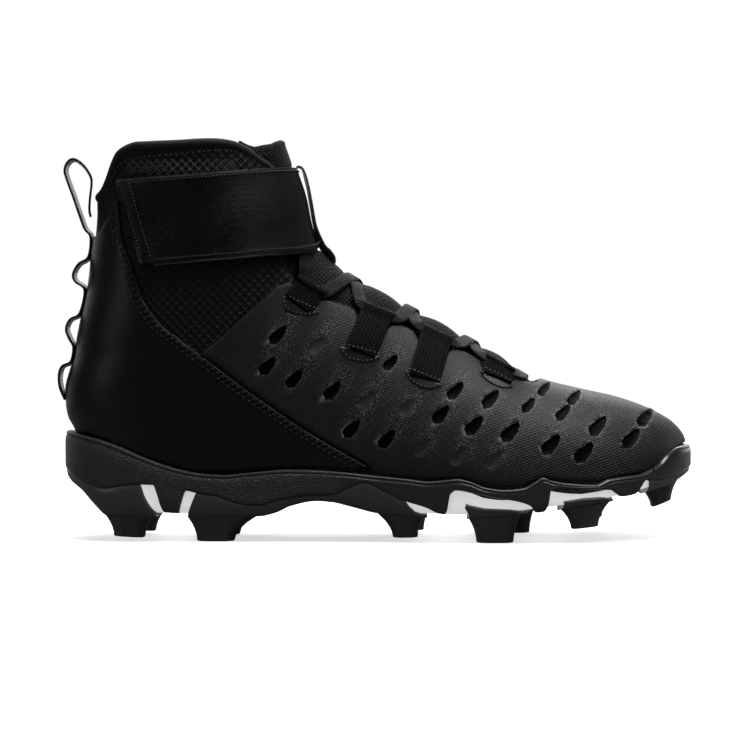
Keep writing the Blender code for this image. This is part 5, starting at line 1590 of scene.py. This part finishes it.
bar = leaving(0, -1, 1) + [(7.40, -0.07, 0.0004), (7.40, 0.07, 0.0004)] + leaving(0, 1, 1)[::-1]
lace_strand("lace_front", bar, "lace_bar")
for number in range(3):
    middle = (LOOPS[number][0] + LOOPS[number + 1][0]) / 2
    for side, kind, lift in ((1, "over", 0.0013), (-1, "under", 0.0)):
        stops = leaving(number, side, -1) + [(middle, 0.0, lift)]
        stops += leaving(number + 1, -side, 1)[::-1]
        replaced = f"lace_cross_{number + 1}" if kind == "over" else None
        lace_strand(f"lace_{kind}_{number + 1}", stops, replaced)
for side, name in ((-1, "outer"), (1, "inner")):
    rear = [(12.35, side * 0.180, 0.0016), (12.75, side * 0.130, 0.0), (13.5, side * 0.07, -0.0004)]
    lace_strand(f"lace_up_{name}", leaving(3, side, -1) + rear)

# Ankle strap: a wide strap of coated webbing round the shaft, with a sewn fold at its end
# on the outer side. Its lighter wavy bands are painted satin sheen, laid in patches towards
# the rear and absent near the front.
STRAP_TOP = ((0.096, 0.888), (0.366, 0.925))
STRAP_LOW = ((0.132, 0.636), (0.3925, 0.676))
STRAP_IN, STRAP_OUT = 0.0010, 0.0034
# The lighter strap colour is the painted satin sheen's.
STRAP_DARK, STRAP_SHEEN = (0.0026, 0.0026, 0.0028), (0.020, 0.020, 0.021)
STRAP_CLOTH = simple_material("strap_cloth", STRAP_DARK, 0.38, Specular_IOR_Level=0.22)
tree = STRAP_CLOTH.node_tree
space = use_group(tree, FLAT_SPACE)
weave = use_group(tree, RIBS, Along=space["Up"], Pitch=0.55)["Rib"]
relief = math_node(tree, "ADD", weave, math_node(tree, "MULTIPLY", noise(tree, 1800.0), 0.6))
cloth_normal = bump_from(tree, relief, 0.00006)
# Painted satin sheen: lighter wavy bands in two patches over the strap's rear part, none near its front
# end.
sheen_streaks = noise(tree, 210.0, 2.0, (1.0, 1.0, 2.8), 2.2)
rear_sheen = one_less(tree, smooth_step(tree, space["Across"], -96.0, -80.0))
fore_sheen = one_less(tree, smooth_step(tree, space["Across"], -58.0, -40.0))
fore_sheen = math_node(tree, "MULTIPLY", fore_sheen, smooth_step(tree, space["Across"], -82.0, -70.0))
patches = math_node(tree, "ADD", math_node(tree, "MULTIPLY", rear_sheen, 0.55), fore_sheen)
sheen_streaks = math_node(tree, "MULTIPLY", smooth_step(tree, sheen_streaks, 0.47, 0.64), patches)
sheened = mix_colour(tree, sheen_streaks, STRAP_DARK, STRAP_SHEEN)
fading = smooth_step(tree, space["Across"], -75.0, -35.0)
dulled = math_node(tree, "ADD", 0.38, math_node(tree, "MULTIPLY", fading, 0.4))
wire(STRAP_CLOTH, Base_Color=sheened, Roughness=dulled, Normal=cloth_normal)


def strap_line(share, forward, side):
    """A line along the strap at a share of the way down it."""
    rear, front = np.array(STRAP_TOP) * (1 - share) + np.array(STRAP_LOW) * share
    x = (rear[0] + (front[0] - rear[0]) * forward) * SHOE_LENGTH
    z = height(rear[1] + (front[1] - rear[1]) * forward)
    section, turn = locate(x, z)
    turn = np.where(forward > 1 - 1e-9, 0.0, turn)
    return section, side * turn


def round_strap(share, start):
    """Sections and turns of a line round the whole strap, from the outer end to the inner."""
    section, turn = strap_line(share, np.sin(np.linspace(start, np.pi / 2, 61)), -1)
    return np.concatenate([section, section[-2::-1]]), np.concatenate([turn, -turn[-2::-1]])


def strap_sunk(share, turns):
    """How much lower the strap lies over the tongue."""
    return 0.0021 * share * (1 - eased((np.abs(turns) - 0.10) / 0.14))


forward = np.sin(np.linspace(0, np.pi / 2, 61))
edge_shares, edge_drops = (0.0, 0.004, 0.012, 0.03), (1.0, 0.45, 0.15, 0.0)
shares = np.concatenate([edge_shares, np.linspace(0.06, 0.94, 24), [0.97, 0.988, 0.996, 1.0]])
edge_drop = np.concatenate([edge_drops, np.zeros(24), edge_drops[::-1]])
out_grid, in_grid = [], []
for share, drop in zip(shares, edge_drop):
    sections, turns = round_strap(share, 0.0)
    hem = np.abs(np.concatenate([forward, forward[-2::-1]]))
    first_side = np.arange(len(sections)) < len(forward)
    fold = 0.0008 * eased((0.075 - hem) / 0.012) * first_side
    bead = 0.0005 * math.exp(-((share - 0.965) / 0.022) ** 2)
    soft = 0.0003 * np.sin(share * 9 + hem * 5)
    sunk = strap_sunk(share, turns)
    lift = STRAP_OUT - drop * 0.0011 + (fold + bead + soft) * (1 - drop) - sunk
    out_grid.append(on_last(sections, turns, lift))
    in_grid.append(on_last(sections, turns, STRAP_IN - sunk))
strap = slab("strap", out_grid, in_grid, STRAP_CLOTH, False)
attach(strap, "root")
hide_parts("ankle_strap")

# Ribbons: a keeper down the strap's front and one glossy ribbon sewn down the heel, which
# makes the pull loop and three small loops.
TAPE_WIDTH, TAPE_THICKNESS = 0.0096, 0.0011
RIBBON = woven_material("ribbon_gloss", (0.010, 0.010, 0.011), 0.3, 0.7, 0.9, 0.00012, Coat_Weight=0.2)
KEEPER_SATIN = woven_material("keeper_satin", (0.15, 0.15, 0.153), 0.34, 0.7, 0.9, 0.00012)
# The keeper stands off the strap: place along, height share
KEEPER = (
    (0.368, 0.929), (0.373, 0.932), (0.379, 0.921), (0.3855, 0.879), (0.389, 0.847),
    (0.392, 0.816), (0.397, 0.764), (0.4025, 0.730), (0.4105, 0.696), (0.4175, 0.682),
    (0.4235, 0.666), (0.4240, 0.652), (0.4200, 0.645),
)
keeper_path = smooth_path([
    (FROM_HEEL[0] + along * SHOE_LENGTH, FROM_HEEL[1], float(height(up))) for along, up in KEEPER
])
keeper_share = np.linspace(0, 1, len(keeper_path))
keeper_twist = np.interp(keeper_share, (0, 0.15, 0.6, 0.85, 1.0), (2, 10, 12, 30, 34))
keeper_faces = outward(keeper_path, keeper_twist)
keeper = tape("keeper", keeper_path, keeper_faces, 0.0070, 0.0008, KEEPER_SATIN)
# The heel ribbon: place along in metres, or None where it lies on the heel, height share
HEEL_RIBBON = (
    (0.0015, 0.252), (-0.0065, 0.288), (-0.0080, 0.322), (-0.0035, 0.347), (None, 0.362),
    (None, 0.405), (0.0080, 0.432), (0.0035, 0.458), (0.0095, 0.484), (None, 0.503),
    (None, 0.572), (0.0180, 0.598), (0.0148, 0.618), (0.0230, 0.646), (None, 0.668),
    (None, 0.727), (0.0330, 0.752), (0.0240, 0.796), (0.0155, 0.842), (0.0050, 0.895),
    (0.0015, 0.920), (0.0055, 0.942), (0.0150, 0.952), (0.0290, 0.935), (0.0400, 0.905),
    (0.0420, 0.882), (0.0395, 0.842), (0.0385, 0.805), (0.0405, 0.786),
)
path = []
for along, up in HEEL_RIBBON:
    z = float(height(up))
    on_heel = float(heel_back(z)) - 0.0013 - TAPE_THICKNESS / 2
    x = on_heel if along is None else along * SHOE_LENGTH
    path.append((x, float(middle_share(0.02)) * BALL_WIDTH, z))
path = smooth_path(np.array(path) + np.array(FROM_HEEL), 0.0009)
heel_ribbon = tape("heel_loops", path, outward(path, 5.0), TAPE_WIDTH, TAPE_THICKNESS, RIBBON)
for piece, node in ((keeper, "keeper_ribbon"), (heel_ribbon, "heel_ribbon")):
    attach(piece, "root")
    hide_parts(node)

# Insole: a thin foam footbed with a cloth top, laid on the floor of the bootie. It is seen
# down through the collar.
INSOLE_LIFT, INSOLE_COLUMNS = 0.0044, 17
FOAM = simple_material("insole_cloth", (0.02, 0.02, 0.021), 0.85)
insole_sections = np.concatenate([
    np.linspace(0.6, 3, 9)[:-1], np.linspace(3, 12, 28)[:-1], np.linspace(12, 12.9, 7),
])
share = np.linspace(-1, 1, INSOLE_COLUMNS)
grid = []
for section in insole_sections:
    sides = off_last(section, np.array([-1.0, 1.0]), np.full(2, -WALL - 0.0012))
    middle, half = (sides[0] + sides[1]) / 2, (sides[1] - sides[0]) / 2
    row = middle + half * np.sin(share * np.pi / 2)[:, None] * 0.97
    row[:, 2] += INSOLE_LIFT * 0.55 + 0.0012 * share**2 + 0.0010
    grid.append(row + np.array(FROM_HEEL))
insole_faces = grid_faces(len(grid), INSOLE_COLUMNS, 0, True)
insole = add_mesh("footbed", np.array(grid).reshape(-1, 3), insole_faces, [FOAM])
thick = insole.modifiers.new("foam", "SOLIDIFY")
thick.thickness, thick.offset = 0.0030, -1.0
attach(insole, "root")
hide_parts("insole")

# Seams: rows of stitches along the quarter's front edge, round the loop patches and along
# the strap's edges and hem. On webbing the thread is a little shinier, and its lighter colour
# is a painted highlight for the light it catches.
THREAD = simple_material("thread", (0.014, 0.014, 0.0145), 0.42)
# The lighter thread colour is a painted highlight.
BRIGHT_THREAD = simple_material("bright_thread", (0.060, 0.060, 0.062), 0.38)


# A stitch's rings: share of its length, size and how far it stands out, by its radius
STITCH_RINGS = ((-0.5, 0.35, -0.5), (-0.42, 0.9, 0.1), (0.0, 1.0, 0.3), (0.42, 0.9, 0.1), (0.5, 0.35, -0.5))


def stitch_row(name, path, normals, length=0.0020, gap=0.0009, radius=0.00030, thread=THREAD):
    """Separate stitches along a path, each an eased bar lying on the surface."""
    reach = run_along(path)
    count = int(reach[-1] / (length + gap))
    points, faces = [], []
    ring = np.linspace(0, 2 * np.pi, 7)[:-1, None]
    shares, sizes, sinks = np.array(STITCH_RINGS).T
    for number in range(count):
        middle = (number + 0.5) * (length + gap)
        places = along_line(middle + shares * length, reach, path)
        along = places[-1] - places[0]
        across = unit(np.cross(along, along_line(middle, reach, normals)))
        out = unit(np.cross(across, along))
        faces += roll_faces(len(places), len(ring), len(points))
        circle = np.cos(ring) * across * 1.25 + np.sin(ring) * out
        for place, size, sink in zip(places, sizes, sinks):
            points += (place + out * radius * sink + circle * radius * size).tolist()
    made = add_mesh(name, points, faces, [thread])
    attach(made, "root")
    return made


def last_path(line, lift):
    """A close path over the last through (section, turn) pairs, with its normals."""
    line = np.asarray(line, float)
    dense = np.concatenate([
        np.stack([np.linspace(a[k], b[k], 12, endpoint=False) for k in (0, 1)], axis=1)
        for a, b in zip(line, line[1:])
    ] + [line[-1:]])
    return on_last(*dense.T, lift), last_normal(*dense.T)


for side, name in ((-1, "outer"), (1, "inner")):
    for row, behind in enumerate((0.0035, 0.0062, 0.0115)):
        line = located(spread([(x - behind * 1.05, z - behind * 0.9) for x, z in SEAM], 61))
        line = [(s, t * side) for s, t in line]
        path, normals = last_path(line, PANEL_LOW + PANEL_THICK)
        stitch_row(f"seam_{name}_{row + 1}", path, normals)
    for number, (section, reach) in enumerate(LOOPS, 1):
        moon = half_moon(section, side, reach, 0.0084, 0.0041)
        path, normals = last_path(moon + moon[:1], SKIN_TOP + PANEL_LOW + SKIN_TOP + 0.0003)
        moon_name = f"moon_stitch_{name}_{number}"
        stitch_row(moon_name, path, normals, 0.0013, 0.0007, 0.00026, BRIGHT_THREAD)

strap_lift = STRAP_OUT + 0.0001
for number, share in enumerate((0.045, 0.925), 1):
    sections, turns = round_strap(share, 0.02)
    path, normals = on_last(sections, turns, strap_lift), last_normal(sections, turns)
    stitch_row(f"strap_stitch_{number}", path, normals, 0.0011, 0.0006, 0.00024, BRIGHT_THREAD)
for number, forward_share in enumerate((0.018, 0.066), 3):
    shares_down = np.linspace(0.04, 0.93, 31)
    pairs = [strap_line(share, np.array([forward_share]), -1) for share in shares_down]
    sections = np.array([pair[0][0] for pair in pairs])
    turns = np.array([pair[1][0] for pair in pairs])
    path, normals = on_last(sections, turns, strap_lift + 0.0008), last_normal(sections, turns)
    stitch_row(f"strap_stitch_{number}", path, normals, 0.0009, 0.0008, 0.00026, BRIGHT_THREAD)

# Seam edges and strap bead: the skin's cut edge shows as a thin line beside the seam, and
# the strap's lower edge ends in a glossy bead.
SEAM_EDGE = simple_material("seam_edge", (0.030, 0.030, 0.031), 0.35)
BEAD_GLOSS = simple_material("bead_gloss", (0.045, 0.045, 0.046), 0.25, Coat_Weight=0.4)


def tube(name, path, normals, width, tall, surface, count=14):
    """A soft roll of an oval section along a path."""
    tangent = unit(np.gradient(path, axis=0))
    up = unit(np.cross(normals, tangent))
    out = np.cross(tangent, up)
    turn = np.linspace(0, 2 * np.pi, count, endpoint=False)
    rings = (
        path[:, None] + (np.cos(turn) * width / 2)[None, :, None] * out[:, None]
        + (np.sin(turn) * tall / 2)[None, :, None] * up[:, None]
    )
    made = add_mesh(name, rings.reshape(-1, 3), roll_faces(len(path), count), [surface])
    add_uv(made, count, turn * tall * 500, path)
    return made


for side, name in ((-1, "outer"), (1, "inner")):
    line = located(spread([(x - 0.0009, z - 0.0008) for x, z in SEAM], 61))
    path, normals = last_path([(s, t * side) for s, t in line], PANEL_LOW + PANEL_THICK)
    edge_line = tube(f"seam_edge_{name}", path, normals, 0.0006, 0.0005, SEAM_EDGE, 6)
    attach(edge_line, "root")
BEAD_SHARE = 0.982
sections, turns = round_strap(BEAD_SHARE, 0.03)
path = on_last(sections, turns, STRAP_OUT - 0.0002 - strap_sunk(BEAD_SHARE, turns))
bead_line = tube("strap_bead", path, last_normal(sections, turns), 0.0010, 0.0011, BEAD_GLOSS, 8)
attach(bead_line, "root")

# Collar: a soft rolled binding of ribbed knit, folded over the shaft's edge and sewn down
# with a row of stitches on either side.
BINDING_TALL = 0.0044
BINDING = woven_material("binding_knit", (0.004, 0.004, 0.0043), 0.7, 0, 0.7, 0.00012)
front = np.array([(17.0, 0.150), (17.3, 0.165), (17.64, 0.192), (17.86, 0.220), (17.97, 0.250)])
back = np.stack([np.full(44, 17.99), np.linspace(0.28, 1.0, 44)], axis=1)
half_edge = np.concatenate([front, back])
edge = np.concatenate([half_edge * (1, -1), half_edge[-2::-1]])
edge_places = on_last(*edge.T, -WALL / 2)
path, reach = smooth_path(edge_places, 0.0014), run_along(edge_places)
normals = along_line(np.linspace(0, reach[-1], len(path)), reach, last_normal(*edge.T))
fall = np.linalg.norm(on_last(TOP_SECTION, 0.5, 0.0) - on_last(TOP_SECTION - 1, 0.5, 0.0))
stitched = TOP_SECTION - BINDING_TALL / fall
for side, name in ((-1, "outer"), (1, "inner")):
    row, out = last_path([(stitched, t * side) for t in np.linspace(0.34, 0.86, 12)], 0.0004)
    stitch_row(f"binding_stitch_{name}", row, out, 0.0009, 0.0016, 0.00026, BRIGHT_THREAD)
collar = tube("collar_binding", path, normals, WALL + 0.0018, BINDING_TALL, BINDING)
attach(collar, "root")

low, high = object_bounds()
